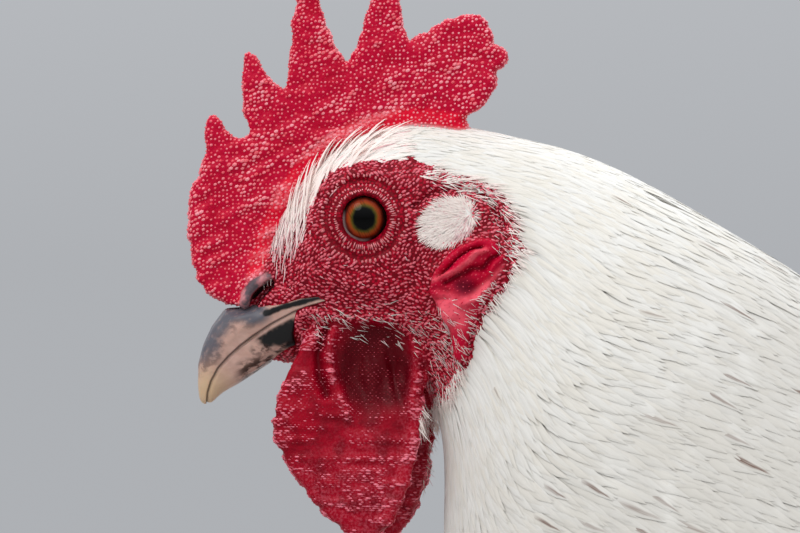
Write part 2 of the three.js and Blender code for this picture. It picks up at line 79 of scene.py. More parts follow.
def smooth_min(a, b, reach):
    """The union of two distance fields with a fillet about as wide as reach."""
    share = np.clip(0.5 + 0.5 * (b - a) / reach, 0, 1)
    return mix(b, a, share) - reach * share * (1 - share)


def smooth_max(a, b, reach):
    return -smooth_min(-a, -b, reach)


def segment_distance(y, z, start, end):
    """Distance in side view from a straight line between two [y, z] points."""
    run = np.subtract(end, start)
    along = np.clip(((y - start[0]) * run[0] + (z - start[1]) * run[1]) / (run @ run), 0, 1)
    return np.hypot(y - start[0] - along * run[0], z - start[1] - along * run[1])


def line_distance(y, z, points):
    return np.min([segment_distance(y, z, a, b) for a, b in zip(points, points[1:])], axis=0)


def outline_distance(y, z, outline):
    """Distance in side view from a closed outline of [y, z] points, negative inside it."""
    inside = np.zeros(np.broadcast(y, z).shape, bool)
    for (y0, z0), (y1, z1) in zip(outline, outline[1:] + outline[:1]):
        if z0 != z1:
            crosses = (z0 > z) != (z1 > z)
            inside ^= crosses & (y < (y1 - y0) * (z - z0) / (z1 - z0) + y0)
    distance = line_distance(y, z, outline + outline[:1])
    return np.where(inside, -distance, distance)


def even_turns(count):
    """Turns in radians, spread evenly round a circle."""
    return np.arange(count) * 2 * math.pi / count


def resampled(values, run, at):
    """The rows of values that belong to lengths run along a path, taken at other lengths."""
    return np.stack([np.interp(at, run, column) for column in values.T], axis=1)


def hashed(cells, seed):
    """Numbers from 0 to 1 that depend only on whole-numbered cells, whatever their order."""
    mixed = cells[..., 0] * 73856093 ^ cells[..., 1] * 19349663 ^ cells[..., 2] * 83492791 ^ seed * 2654435
    mixed = (mixed ^ (mixed >> 13)) * 1274126177 & 0x7FFFFFFF
    return ((mixed ^ (mixed >> 16)) & 0xFFFFF) / 0xFFFFF


def cloud(points, size, seed=0):
    """Smooth noise from -1 to 1 whose bumps are about size across."""
    scaled = points / size
    base = np.floor(scaled).astype(np.int64)
    share = smoothstep(0, 1, scaled - base)
    total = np.zeros(len(points))
    for corner in np.ndindex(2, 2, 2):
        weight = np.prod(np.where(corner, share, 1 - share), axis=1)
        total += weight * hashed(base + corner, seed)
    return total * 2 - 1


# ---------------------------------------------------------------- the body's ribs

# A rib is an oval slice of the feathered body: its upper (or rear) point and its lower (or front)
# point, as y and z, and its half-width. They run from the face down the neck to the tail.
RIBS = np.array([
    (-25, -17, -21.5, -32, 5.6), (-23.5, -8, -16.5, -32.6, 8.2), (-19.5, 2, -10, -31.5, 11.8),
    (-13, 12, -1, -31, 15.2), (-3, 19.5, 8, -32, 16.6), (10, 23, 13.5, -37, 17.4),
    (22, 21.8, 16.5, -45, 18.6), (35, 19.2, 18, -54, 20.6), (50, 15.2, 18.2, -66, 24.5),
    (66, 8, 17.5, -82, 30.5), (84, -2.4, 14, -101, 38), (104, -15, 9, -124, 47),
    (125, -31, 2, -149, 58), (146, -53, -5, -178, 69), (168, -80, -7, -211, 79),
    (191, -104, 4, -249, 85), (215, -121, 34, -284, 87), (238, -130, 76, -306, 85),
    (260, -131, 124, -316, 80), (280, -125, 174, -313, 72), (297, -115, 222, -297, 62),
    (311, -104, 262, -269, 49), (323, -96, 297, -230, 36), (332, -95, 319, -190, 24),
    (337, -106, 331, -158, 14),
], float)
LAST_RIB = len(RIBS) - 1


def rib_values(rib):
    """The five numbers of a rib at rib numbers that need not be whole, along a smooth curve that
    runs straight on past its ends."""
    wanted = rib
    rib = np.clip(rib, 0, LAST_RIB)
    past = (wanted - rib)[..., None]
    onward = np.where(past > 0, RIBS[-1] - RIBS[-2], RIBS[1] - RIBS[0]) * past
    first = np.minimum(rib.astype(int), LAST_RIB - 1)
    t = (rib - first)[..., None]
    before, a = RIBS[np.maximum(first - 1, 0)], RIBS[first]
    b, after = RIBS[first + 1], RIBS[np.minimum(first + 2, LAST_RIB)]
    cubic = 3 * (a - b) + after - before
    square = 2 * before - 5 * a + 4 * b - after
    values = 0.5 * (2 * a + t * (b - before + t * (square + t * cubic))) + onward
    values[..., 4] = np.maximum(values[..., 4], 4)
    return values


def rib_point(rib, turn, grow=0.0):
    """The body's surface at a rib number and a turn in radians, 0 at the upper line and growing to
    the bird's left, moved out by grow."""
    values = rib_values(np.asarray(rib, float))
    middle = (values[..., :2] + values[..., 2:4]) / 2
    chord = values[..., :2] - middle
    depth = np.linalg.norm(chord, axis=-1, keepdims=True)
    chord = chord * (1 + np.asarray(grow)[..., None] / depth)
    side = (values[..., 4] + grow) * np.sin(turn)
    upright = middle + chord * np.cos(turn)[..., None]
    return np.concatenate([side[..., None], upright], axis=-1)


def tube_faces(rows, around):
    """Faces of a closed tube of points in rows, with one more point past each end: the four-sided
    ones between the rows, and the three-sided ones that close the ends."""
    here = np.arange(rows * around).reshape(rows, around)
    beside = np.roll(here, -1, axis=1)
    quads = np.stack([here[:-1], beside[:-1], beside[1:], here[1:]], axis=-1).reshape(-1, 4)
    first = np.stack([beside[0], here[0], np.full(around, rows * around)], axis=1)
    last = np.stack([here[-1], beside[-1], np.full(around, rows * around + 1)], axis=1)
    return quads, np.concatenate([first, last])


def loft(first, last, depth=None, around=72, per_rib=4):
    """A closed tube of the body between two ribs, as points and triangles, at a depth below the
    feather tips that depends on the rib."""
    ribs = np.linspace(first, last, int((last - first) * per_rib) + 1)
    turns = even_turns(around)
    grid_rib, grid_turn = np.meshgrid(ribs, turns, indexing="ij")
    grow = -depth(grid_rib) if depth else 0.0
    points = rib_point(grid_rib, grid_turn, grow).reshape(-1, 3)
    ends = np.array([points[:around].mean(0), points[-around:].mean(0)])
    quads, closing = tube_faces(len(ribs), around)
    return np.concatenate([points, ends]), np.concatenate([quads[:, [0, 1, 2]], quads[:, [0, 2, 3]], closing])


# ---------------------------------------------------------------- distance fields

class Grid:
    """A block of space filled with points a step apart."""

    def __init__(self, low, high, step):
        self.low = np.array(low, float)
        self.step = step
        self.shape = tuple(int(math.ceil((h - l) / step)) + 1 for l, h in zip(low, high))
        axes = [self.low[i] + step * np.arange(self.shape[i]) for i in range(3)]
        self.x = axes[0][:, None, None].astype(np.float32)
        self.y = axes[1][None, :, None].astype(np.float32)
        self.z = axes[2][None, None, :].astype(np.float32)

    def field_of(self, points, triangles, band):
        """Distance from a closed surface, negative inside it and true up to band away from it."""
        indexed = ((points - self.low) / self.step).astype(np.float32)
        level_set = openvdb.FloatGrid.createLevelSetFromPolygons(
            indexed, triangles=triangles.astype(np.uint32), halfWidth=band / self.step)
        field = np.empty(self.shape, np.float32)
        level_set.copyToArray(field)
        return field * np.float32(self.step)

    def surface_of(self, field):
        """The surface where a field is zero, as points and four-sided faces."""
        solid = openvdb.FloatGrid(float(field.max()))
        solid.copyFromArray(np.ascontiguousarray(field, np.float32))
        points, quads = solid.convertToQuads(0.0)
        return points * self.step + self.low, quads

    def value_at(self, field, points):
        """A field's value at any points, blended between the nearest grid points."""
        place = (points - self.low) / self.step
        place = np.clip(place, 0, np.array(self.shape) - 1.001)
        base = place.astype(int)
        share = place - base
        total = np.zeros(len(points))
        for corner in np.ndindex(2, 2, 2):
            weight = np.prod(np.where(corner, share, 1 - share), axis=1)
            total += weight * field[tuple((base + corner).T)]
        return total


def blurred(field, reach):
    """A field averaged over about reach grid steps each way, which rounds its facets off."""
    weights = np.exp(-0.5 * (np.arange(-2 * reach, 2 * reach + 1) / reach) ** 2)
    weights /= weights.sum()
    for axis in range(3):
        padding = [(2 * reach, 2 * reach) if axis == i else (0, 0) for i in range(3)]
        padded = np.pad(field, padding, mode="edge")
        total = np.zeros_like(field)
        for offset, weight in enumerate(weights):
            window = [slice(None)] * 3
            window[axis] = slice(offset, offset + field.shape[axis])
            total += np.float32(weight) * padded[tuple(window)]
        field = total
    return field


def node_surface(*names):
    """The points and triangles of CAD nodes, in millimetres from the eyes."""
    all_points, all_triangles, count = [], [], 0
    for name in names:
        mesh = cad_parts[name].data
        mesh.calc_loop_triangles()
        points = np.empty(len(mesh.vertices) * 3, np.float32)
        mesh.vertices.foreach_get("co", points)
        triangles = np.empty(len(mesh.loop_triangles) * 3, np.int32)
        mesh.loop_triangles.foreach_get("vertices", triangles)
        all_points.append((points.reshape(-1, 3) - EYE_ORIGIN) / MM)
        all_triangles.append(triangles.reshape(-1, 3) + count)
        count += len(mesh.vertices)
    return np.concatenate(all_points), np.concatenate(all_triangles)


# ---------------------------------------------------------------- making Blender objects

def in_metres(points):
    """Points in millimetres from the eyes as one row of metres in the frame."""
    return (EYE_ORIGIN + points * MM).astype(np.float32).ravel()


def make_object(name, points, *face_groups):
    """A mesh object from points in millimetres and one or more arrays of faces, each array with faces
    of the same number of corners."""
    mesh = bpy.data.meshes.new(name)
    mesh.vertices.add(len(points))
    mesh.vertices.foreach_set("co", in_metres(points))
    corners = np.concatenate([faces.ravel() for faces in face_groups])
    sizes = np.concatenate([np.full(len(faces), faces.shape[1]) for faces in face_groups])
    mesh.loops.add(len(corners))
    mesh.loops.foreach_set("vertex_index", corners.astype(np.int32))
    mesh.polygons.add(len(sizes))
    mesh.polygons.foreach_set("loop_start", (np.cumsum(sizes) - sizes).astype(np.int32))
    mesh.polygons.foreach_set("use_smooth", np.full(len(sizes), True))
    mesh.update(calc_edges=True)
    piece = bpy.data.objects.new(name, mesh)
    bpy.context.scene.collection.objects.link(piece)
    return piece


def enter(piece, material):
    """Gives a piece its material and its place in the frame."""
    piece.data.materials.clear()
    piece.data.materials.append(material)
    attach(piece, "root")


def points_of(mesh):
    points = np.empty(len(mesh.vertices) * 3, np.float32)
    mesh.vertices.foreach_get("co", points)
    return (points.reshape(-1, 3) - EYE_ORIGIN) / MM


def normals_of(mesh):
    normals = np.empty(len(mesh.vertices) * 3, np.float32)
    mesh.vertices.foreach_get("normal", normals)
    return normals.reshape(-1, 3)


def set_points(mesh, points):
    mesh.vertices.foreach_set("co", in_metres(points))
    mesh.update()


def set_value(mesh, name, values):
    """Stores one number for each vertex, which the materials read by its name."""
    attribute = mesh.attributes.new(name, "FLOAT", "POINT")
    attribute.data.foreach_set("value", np.asarray(values, np.float32))


def set_normals(mesh, normals):
    attribute = mesh.attributes.new("custom_normal", "FLOAT_VECTOR", "POINT")
    attribute.data.foreach_set("vector", normals.astype(np.float32).ravel())


def set_uv(mesh, uv_of_vertices):
    layer = mesh.uv_layers.new(name="OFBake")
    corners = np.empty(len(mesh.loops), np.int32)
    mesh.loops.foreach_get("vertex_index", corners)
    layer.data.foreach_set("uv", uv_of_vertices[corners].astype(np.float32).ravel())


# ---------------------------------------------------------------- the skin

HEAD_STEP = 0.45
BODY_STEP = 3.4
LEG_STEP = 1.1
HEAD_END_RIB = 9.4
BODY_START_RIB = 8.2

# The edge of the bare red face, in side view: up the front, over the eye, round the ear and lobe,
# and down the throat, closed in front of the bird.
FACE_OUTLINE = [
    (-16, -17), (-13.4, -6), (-11, 3), (-7.3, 10.1), (0, 12.8), (7.5, 13.1), (14.8, 12), (20.2, 9.1),
    (24.8, 8.2), (29.5, 6.1), (32, 3.6), (34.1, -0.9), (35.9, -7.2), (33.4, -11), (30, -16.5),
    (26.4, -22), (24.4, -29), (22.5, -34.8), (19.8, -40), (15, -44.5), (5, -48), (-50, -50), (-50, -17),
]


def coat_depth(y, z):
    """How far the skin lies under the feather tips on the head and neck: nothing on the bare face."""
    beyond_face = outline_distance(y, z, FACE_OUTLINE)
    down_neck = np.clip((y - 20) * 0.6 - z * 0.5, 0, 120)
    return smoothstep(-0.5, 3.2, beyond_face) * (1.1 + 1.1 * smoothstep(5, 60, down_neck))


def body_depth(rib):
    """How far the skin lies under the feather tips on the body: most on the breast and flanks."""
    depth = mix(2.2, 6.0, smoothstep(9, 15, rib))
    depth = mix(depth, 4.0, smoothstep(19, 24, rib))
    tuck = 1 - smoothstep(BODY_START_RIB, HEAD_END_RIB, rib)
    return depth + tuck


COMB_ROOT = [(-27, -15), (-22.5, -5), (-18.6, 3), (-12.5, 12), (-3, 19), (9, 22.4), (21, 21)]
NOSTRIL = [(-25.6, -20.0), (-24.4, -17.8), (-21.6, -14.9)]
NOSTRIL_FLAP = [(-27.4, -20.2), (-27.0, -17.2), (-25.2, -15.0), (-22.2, -13.5)]
GAPE = (-12.4, -23.7)   # the corner of the mouth
NOSTRIL_MOUND = [(-25.4, -17.6), (-21, -12)]


def head_field():
    """The head, comb, wattles and lobes as one field, with the parts' own fields for its masks."""
    grid = Grid((-27, -42, -76), (27, 76, 64), HEAD_STEP)
    x, y, z = np.abs(grid.x), grid.y, grid.z
    skull = grid.field_of(*loft(0, HEAD_END_RIB), band=7)
    skull = skull + coat_depth(y, z)
    comb = blurred(grid.field_of(*node_surface("comb"), band=5), 1)
    wattles = blurred(grid.field_of(*node_surface("wattle_left", "wattle_right"), band=5), 2)
    lobes = blurred(grid.field_of(*node_surface("earlobe_left", "earlobe_right"), band=4), 3)
    mound = np.hypot(x - 3.4, line_distance(y, z, NOSTRIL_MOUND)) - 3.2
    gape = np.hypot(np.hypot(y - GAPE[0], z - GAPE[1]) - 2.5, skull) - 1.1
    root = np.hypot(np.maximum(x - 1.6, 0), line_distance(y, z, COMB_ROOT)) - 2.6
    comb = smooth_min(comb, root, 2.0)
    whole = smooth_min(skull, mound, 2.5)
    for part, fillet in ((comb, 2.2), (gape, 0.9), (wattles, 2.4), (lobes, 2.0)):
        whole = smooth_min(whole, part, fillet)
    whole = lids(whole, x, y, z)
    return grid, nostrils(whole, x, y, z), {"skull": skull, "comb": comb, "wattle": wattles, "lobe": lobes}


LID_THICKNESS = 0.95
LID_RIM = (5.5, 15.3, 0.75)    # radius round the eye's axis, distance from the middle, thickness
LID_GROOVE = (8.3, 0.8, 0.9)   # radius, depth and half-width of the groove round the lids
LID_OPENING = (4.85, 0.5)      # radius 15 mm from the middle, and its growth with each mm outwards
EYE_CLEARANCE = 0.08


def lids(whole, x, y, z):
    """Raised eyelids with a round opening, over a socket that the eyeball fills."""
    from_eye = np.sqrt((x - EYE_SIDE) ** 2 + y ** 2 + z ** 2)
    around = np.hypot(y / 1.02, z / 1.05)
    lid = from_eye - (EYEBALL_RADIUS + LID_THICKNESS)
    rim_radius, rim_side, rim_thickness = LID_RIM
    rim = np.hypot(around - rim_radius, x - rim_side) - rim_thickness
    groove_radius, groove_depth, groove_reach = LID_GROOVE
    groove = groove_depth * np.exp(-((around - groove_radius) / groove_reach) ** 2) * (x > 8)
    whole = smooth_min(whole + groove, lid, 1.0)
    whole = smooth_min(whole, rim, 0.8)
    opening = LID_OPENING[0] + LID_OPENING[1] * (x - 15) - around
    whole = smooth_max(whole, np.where(x > EYE_SIDE, opening, -50), 0.5)
    return np.maximum(whole, EYEBALL_RADIUS + EYE_CLEARANCE - from_eye)


SLIT_HALF_WIDTH = 1.0
SLIT_DEPTH = 2.4
FLAP_THICKNESS = 0.6


def nostrils(whole, x, y, z):
    """A slit over each side of the beak, with a raised flap along its front."""
    beside = np.where(x > 3, 0, 9)
    slit = np.maximum(line_distance(y, z, NOSTRIL) - SLIT_HALF_WIDTH, -SLIT_DEPTH - whole) + beside
    flap = np.hypot(whole - 0.1, line_distance(y, z, NOSTRIL_FLAP)) - FLAP_THICKNESS + beside
    return smooth_min(smooth_max(whole, -slit, 0.5), flap, 0.4)


THIGH_DEPTH = 4.5     # of the skin under the feather tips
WING_DEPTH = 2.6
THIGH = np.array([(30, 178, -205, 37), (37, 168, -266, 31), (38, 170, -298, 30), (40, 176, -320, 19),
                  (41, 184, -344, 8.5)], float)   # x, y, z and radius


def body_field():
    """The trunk, wings and thighs under their feathers, and the wings' own field to feather them by."""
    grid = Grid((-100, -16, -372), (100, 342, 24), BODY_STEP)
    trunk = grid.field_of(*loft(BODY_START_RIB, LAST_RIB, body_depth), band=26)
    wings = blurred(grid.field_of(*node_surface("wing_left", "wing_right"), band=26), 1)
    whole = trunk
    for start, end in zip(THIGH, THIGH[1:]):
        run = end[:3] - start[:3]
        away = [np.abs(grid.x) - start[0], grid.y - start[1], grid.z - start[2]]
        share = np.clip(sum(d * r for d, r in zip(away, run)) / (run @ run), 0, 1)
        nearest = np.sqrt(sum((d - share * r) ** 2 for d, r in zip(away, run)))
        whole = smooth_min(whole, nearest - mix(start[3], end[3], share) + THIGH_DEPTH, 9)
    return grid, smooth_min(whole, wings + WING_DEPTH, 4), np.minimum(trunk - 4, wings)


HOCK = (41, 183, 120)   # x, y and height over the floor
HOCK_RADIUS = 9.5


def leg_field():
    """The left shank, foot and toes."""
    grid = Grid((2, 76, FLOOR_Z - 2), (84, 206, FLOOR_Z + 134), LEG_STEP)
    toes = ["toe_inner_left", "toe_middle_left", "toe_outer_left", "toe_hind_left"]
    whole = blurred(grid.field_of(*node_surface("shank_left"), band=8), 1)
    x, y, height = HOCK
    hock = np.sqrt((grid.x - x) ** 2 + (grid.y - y) ** 2 + (grid.z - FLOOR_Z - height) ** 2) - HOCK_RADIUS
    whole = smooth_min(whole, hock, 6)
    whole = smooth_min(whole, blurred(grid.field_of(*node_surface("foot_left"), band=8), 1), 4)
    for toe in toes:
        whole = smooth_min(whole, grid.field_of(*node_surface(toe), band=8), 2.2)
    whole = blurred(whole, 1)
    return grid, np.maximum(whole, FLOOR_Z + 0.1 - grid.z)


class HeightMap:
    """How far out to the side the wings and flanks reach, at each y and z."""

    def __init__(self, grid, field):
        inside = (field < 0) & (grid.x > 0)
        reach = np.where(inside, grid.x, 0).max(axis=0)
        known = reach > 0
        for _ in range(12):
            padded, seen = np.pad(reach, 1), np.pad(known, 1).astype(float)
            shifts = [(1, 0), (-1, 0), (0, 1), (0, -1)]
            total = sum(np.roll(padded * seen, shift, (0, 1)) for shift in shifts)[1:-1, 1:-1]
            count = sum(np.roll(seen, shift, (0, 1)) for shift in shifts)[1:-1, 1:-1]
            grown = ~known & (count > 0)
            reach = np.where(grown, total / np.maximum(count, 1), reach)
            known |= grown
        for _ in range(3):
            padded = np.pad(reach, 1, mode="edge")
            reach = (padded[2:, 1:-1] + padded[:-2, 1:-1] + padded[1:-1, 2:] + padded[1:-1, :-2]) / 4
        self.grid, self.reach = grid, reach

    def at(self, y, z):
        """The reach at any y and z, blended between the nearest grid points."""
        place_y = np.clip((y - self.grid.low[1]) / self.grid.step, 0, self.reach.shape[0] - 1.001)
        place_z = np.clip((z - self.grid.low[2]) / self.grid.step, 0, self.reach.shape[1] - 1.001)
        row, column = place_y.astype(int), place_z.astype(int)
        over_y, over_z = place_y - row, place_z - column
        near = mix(self.reach[row, column], self.reach[row, column + 1], over_z)
        far = mix(self.reach[row + 1, column], self.reach[row + 1, column + 1], over_z)
        return mix(near, far, over_y)


def united(pieces):
    """The pieces cut and joined into one closed skin."""
    whole, *others = pieces
    for other in others:
        cut = whole.modifiers.new("union", "BOOLEAN")
        cut.operation = "UNION"
        cut.solver = "MANIFOLD"
        cut.object = other
    bpy.context.view_layer.update()
    evaluated = whole.evaluated_get(bpy.context.evaluated_depsgraph_get())
    mesh = bpy.data.meshes.new_from_object(evaluated)
    whole.modifiers.clear()
    whole.data = mesh
    for other in others:
        bpy.data.objects.remove(other)
    return whole


# Relief of the bare skin in side view: lines of [y, z] points with their height and half-width.
WATTLE_RELIEF = [
    ([(-8.6, -25), (-10.6, -31), (-10.2, -36), (-8.6, -40)], -1.8, 1.1),
    ([(-7.2, -26), (-8, -31.6), (-6.8, -36.4), (-5.2, -40), (-3.8, -44.8)], 1.7, 1.1),
    ([(11.4, -27), (11.8, -34), (11.2, -40), (12.4, -46), (11.4, -53), (8.6, -61), (5, -69)], 1.3, 1.5),
    ([(8, -34), (8.4, -39), (9.4, -45), (8.6, -52)], -0.5, 1.8),
]
WATTLE_SWING = (5.4, 1.6)   # how far back and up the right wattle's relief lies from the left one's
WATTLE_HOLLOW = ((2.4, -34), (8.6, 9.4), -4.2)
WATTLE_BULGES = [((-13.5, -47), (5.5, 12), 1.1), ((0, -60), (9, 8), 1.0), ((3, -35), (2.6, 5), 2.0)]
LOBE_RELIEF = [
    ([(28, -3.8), (24.8, -4.7), (21.4, -6.5), (17.8, -9.4), (15.6, -13)], 0.9, 0.8),
    ([(26, -6), (22.8, -8.0), (19.6, -10.5), (16.6, -13.2)], -1.8, 0.6),
    ([(27.4, -7.2), (25.6, -7.6), (23.8, -9.7), (20.9, -12), (18.2, -12.9), (15.4, -14)], 1.3, 0.6),
    ([(30.4, -8.2), (27.3, -10.9), (24.1, -11.7), (21.4, -13.4), (18.2, -14.8)], -1.5, 0.6),
    ([(32.2, -9.0), (29.4, -10.2), (27.8, -12.6)], 0.9, 0.6),
    ([(32.6, -11.1), (30.5, -13), (28.4, -15), (25.9, -17), (22.4, -19.4)], 1.1, 0.8),
    ([(19.2, -16.4), (15.8, -15.6)], -0.8, 0.45),
    ([(19.6, -18.0), (16.2, -17.8)], -0.6, 0.45),
]
LOBE_BULGES = [((18.4, -20.6), (2.6, 3), 0.8), ((23.2, -15.2), (2.6, 1.6), -1.4)]
FACE_RELIEF = [
    ([(11.4, 2.8), (15.4, 6.0), (20.6, 7.2), (25.4, 6.4), (29.4, 3.4), (31.6, -1.6)], -1.1, 0.8),
    ([(-9, 7), (-3, 10.4), (4, 10.8), (10, 8)], 0.5, 1.4),
    ([(9.6, -3), (12, -8), (11.4, -14), (8, -19)], -0.6, 1.6),
    ([(-12, -12), (-4, -14.5), (5, -15.5), (12, -20)], 0.7, 2.2),
    ([(-9, -21.5), (-2, -22.6), (8, -22.8), (14, -24.5)], 0.8, 1.5),
    ([(-16, -9), (-10, -11), (-6, -16)], -0.5, 1.4),
]


def relief(y, z, lines, bulges=()):
    """Height in millimetres of soft ridges and grooves along lines, and of oval bulges."""
    height = np.zeros(len(y))
    for points, rise, reach in lines:
        height += rise * np.exp(-(line_distance(y, z, points) / reach) ** 2)
    for (py, pz), (ry, rz), rise in bulges:
        height += rise * np.exp(-(((y - py) / ry) ** 2 + ((z - pz) / rz) ** 2))
    return height


def cell_distance(points, size, seed):
    """Distance to the nearest of scattered points about size apart, as a share of size."""
    scaled = points / size
    base = np.floor(scaled).astype(np.int64)
    nearest = np.full(len(points), 9.0)
    for offset in np.ndindex(3, 3, 3):
        cell = base + offset - 1
        spot = cell + np.stack([hashed(cell, seed + k) for k in range(3)], axis=-1)
        nearest = np.minimum(nearest, ((spot - scaled) ** 2).sum(-1))
    return np.sqrt(nearest)


EAR_TUFT = (19.3, -0.7)
EAR_TUFT_RADII = (5.9, 4.4)
EAR_TUFT_TILT = math.radians(32)


def ear_tuft_distance(y, z):
    """1 on the oval edge of the ear tuft in side view, less inside it."""
    dy, dz = y - EAR_TUFT[0], z - EAR_TUFT[1]
    long = dy * math.cos(EAR_TUFT_TILT) + dz * math.sin(EAR_TUFT_TILT)
    short = dz * math.cos(EAR_TUFT_TILT) - dy * math.sin(EAR_TUFT_TILT)
    return np.hypot(long / EAR_TUFT_RADII[0], short / EAR_TUFT_RADII[1])


def skin_masks(points, grid, parts):
    """Which part of the bird each point of the skin belongs to, as shares from 0 to 1."""
    low, high = grid.low, grid.low + grid.step * (np.array(grid.shape) - 1)
    in_head = np.all((points > low) & (points < high), axis=1)
    fields = {name: np.full(len(points), 20.0) for name in parts}
    for name, field in parts.items():
        fields[name][in_head] = grid.value_at(field, points[in_head])
    y, z = points[:, 1], points[:, 2]
    comb = smoothstep(-1.2, 1.2, fields["skull"] - fields["comb"]) * in_head * (y < 38) * (z > -22)
    wattle = smoothstep(-1, 1, fields["skull"] - fields["wattle"]) * in_head * (z < -19)
    lobe = smoothstep(-0.6, 0.6, np.minimum(fields["skull"], fields["wattle"]) - fields["lobe"]) * in_head
    bare = np.maximum(np.maximum(comb, wattle), lobe)
    leg = smoothstep(128, 118, z - FLOOR_Z)
    white = smoothstep(1.0, 3.2, outline_distance(y, z, FACE_OUTLINE))
    white *= np.maximum(smoothstep(-6, 12, y + 0.55 * np.maximum(z, -10)), smoothstep(-44, -52, z))
    white = np.maximum(white, smoothstep(1.1, 0.8, ear_tuft_distance(y, z)))
    white *= np.maximum(smoothstep(0, 9, y), smoothstep(-1, 9, z)) * (1 - bare) * (1 - leg)
    face = (1 - bare) * (1 - white) * (1 - leg)
    return {"comb": comb, "wattle": wattle, "lobe": lobe, "leg": leg, "white": white, "face": face}


def carve_skin(points, normals, masks):
    """Moves the skin in and out along its normals, and returns it with the depth of its hollows."""
    left = points[:, 0] > 0
    outward = smoothstep(0.15, 0.75, normals[:, 0] * np.where(left, 1, -1))
    y = points[:, 1] - np.where(left, 0, WATTLE_SWING[0]) * masks["wattle"]
    z = points[:, 2] - np.where(left, 0, WATTLE_SWING[1]) * masks["wattle"]
    (hollow_y, hollow_z), (reach_y, reach_z), depth = WATTLE_HOLLOW
    from_pit = ((y - hollow_y) / reach_y) ** 2 + ((z - hollow_z) / reach_z) ** 2
    pit = (1 + 0.3 * cloud(points, 5, 18)) * np.exp(-from_pit ** 1.3)
    folds = 0.4 * np.sin((y + 0.22 * z) * 1.5 + 2.2 * cloud(points, 4.5, 17)) * pit
    height = masks["wattle"] * outward * (relief(y, z, WATTLE_RELIEF, WATTLE_BULGES) + depth * pit)
    bent_y, bent_z = y + 0.8 * cloud(points, 3.0, 7), z + 0.8 * cloud(points, 3.0, 8)
    height += masks["lobe"] * outward * relief(bent_y, bent_z, LOBE_RELIEF, LOBE_BULGES)
    height += masks["face"] * outward * relief(y, z, FACE_RELIEF)
    hollow = np.clip(-height, 0, 3)
    height += masks["wattle"] * outward * folds
    height += masks["comb"] * comb_relief(points)
    height += masks["wattle"] * 0.6 * wattle_wrinkle(points) * (1 - np.clip(hollow, 0, 1))
    lobe_grain = 0.7 * np.abs(cloud(points * (0.6, 1, 1), 3.2, 4)) + 0.25 * cloud(points, 1.3, 5)
    height += masks["lobe"] * lobe_grain
    height += (masks["face"] + masks["comb"]) * 0.3 * cloud(points, 4.0, 6)
    height += masks["face"] * (np.hypot(y, z) > 8) * 0.18 * cloud(points, 1.4, 16)
    return points + normals * height[:, None], hollow


def wattle_wrinkle(points):
    """Level wrinkles from -1 to 1 across the wattles."""
    return cloud(points * (0.4, 0.2, 1.0), 1.4, 3)


def comb_relief(points):
    """Low ridges that run up and back, strongest on the front of the comb."""
    front = smoothstep(4, -14, points[:, 1]) * smoothstep(30, 16, points[:, 2])
    return 0.55 * comb_wrinkle(points) * (0.3 + front)


def comb_wrinkle(points):
    """Wrinkles from -1 to 1 that run up and back over the comb."""
    across = points[:, 2] * 0.88 - points[:, 1] * 0.47
    along = points[:, 1] * 0.88 + points[:, 2] * 0.47
    return cloud(np.stack([points[:, 0] * 0.3, along * 0.28, across], axis=1), 1.9, 9)


FOOT_MIDDLE = (42, 152)   # x and y
SCUTE = 5.2               # length of one plate down the shank
SCALE = 2.6               # across one of the small scales between


def plate(share):
    """Height over one plate from its free edge to where it goes under the next."""
    return smoothstep(0, 0.16, share) * (1 - 0.5 * share)


def leg_relief(points, normals):
    """Overlapping plates down the front of the shanks and over the toes, and small scales between:
    their height, and how far each point is from an edge."""
    x, y = np.abs(points[:, 0]), points[:, 1]
    height = points[:, 2] - FLOOR_Z
    forward = smoothstep(-0.1, 0.45, -normals[:, 1]) * smoothstep(16, 26, height)
    upward = smoothstep(0.1, 0.5, normals[:, 2]) * smoothstep(26, 16, height)
    bend = 0.02 * (x - 41) ** 2
    down_shank = ((height + bend) / SCUTE) % 1
    out_toe = (np.hypot(x - FOOT_MIDDLE[0], y - FOOT_MIDDLE[1]) / (SCUTE * 0.72)) % 1
    from_scale = cell_distance(points, SCALE, 11)
    plated = np.maximum(forward, upward)
    plates = 0.55 * (plate(down_shank) - 0.5) * forward + 0.5 * (plate(1 - out_toe) - 0.5) * upward
    on_shank = np.minimum(1 - down_shank, down_shank) * forward
    on_toe = np.minimum(1 - out_toe, out_toe) * upward
    from_edge = np.where(plated > 0.3, np.maximum(on_shank, on_toe) * 2.4, 0.8 - from_scale)
    return plates + 0.35 * (0.5 - from_scale) * (1 - plated), from_edge


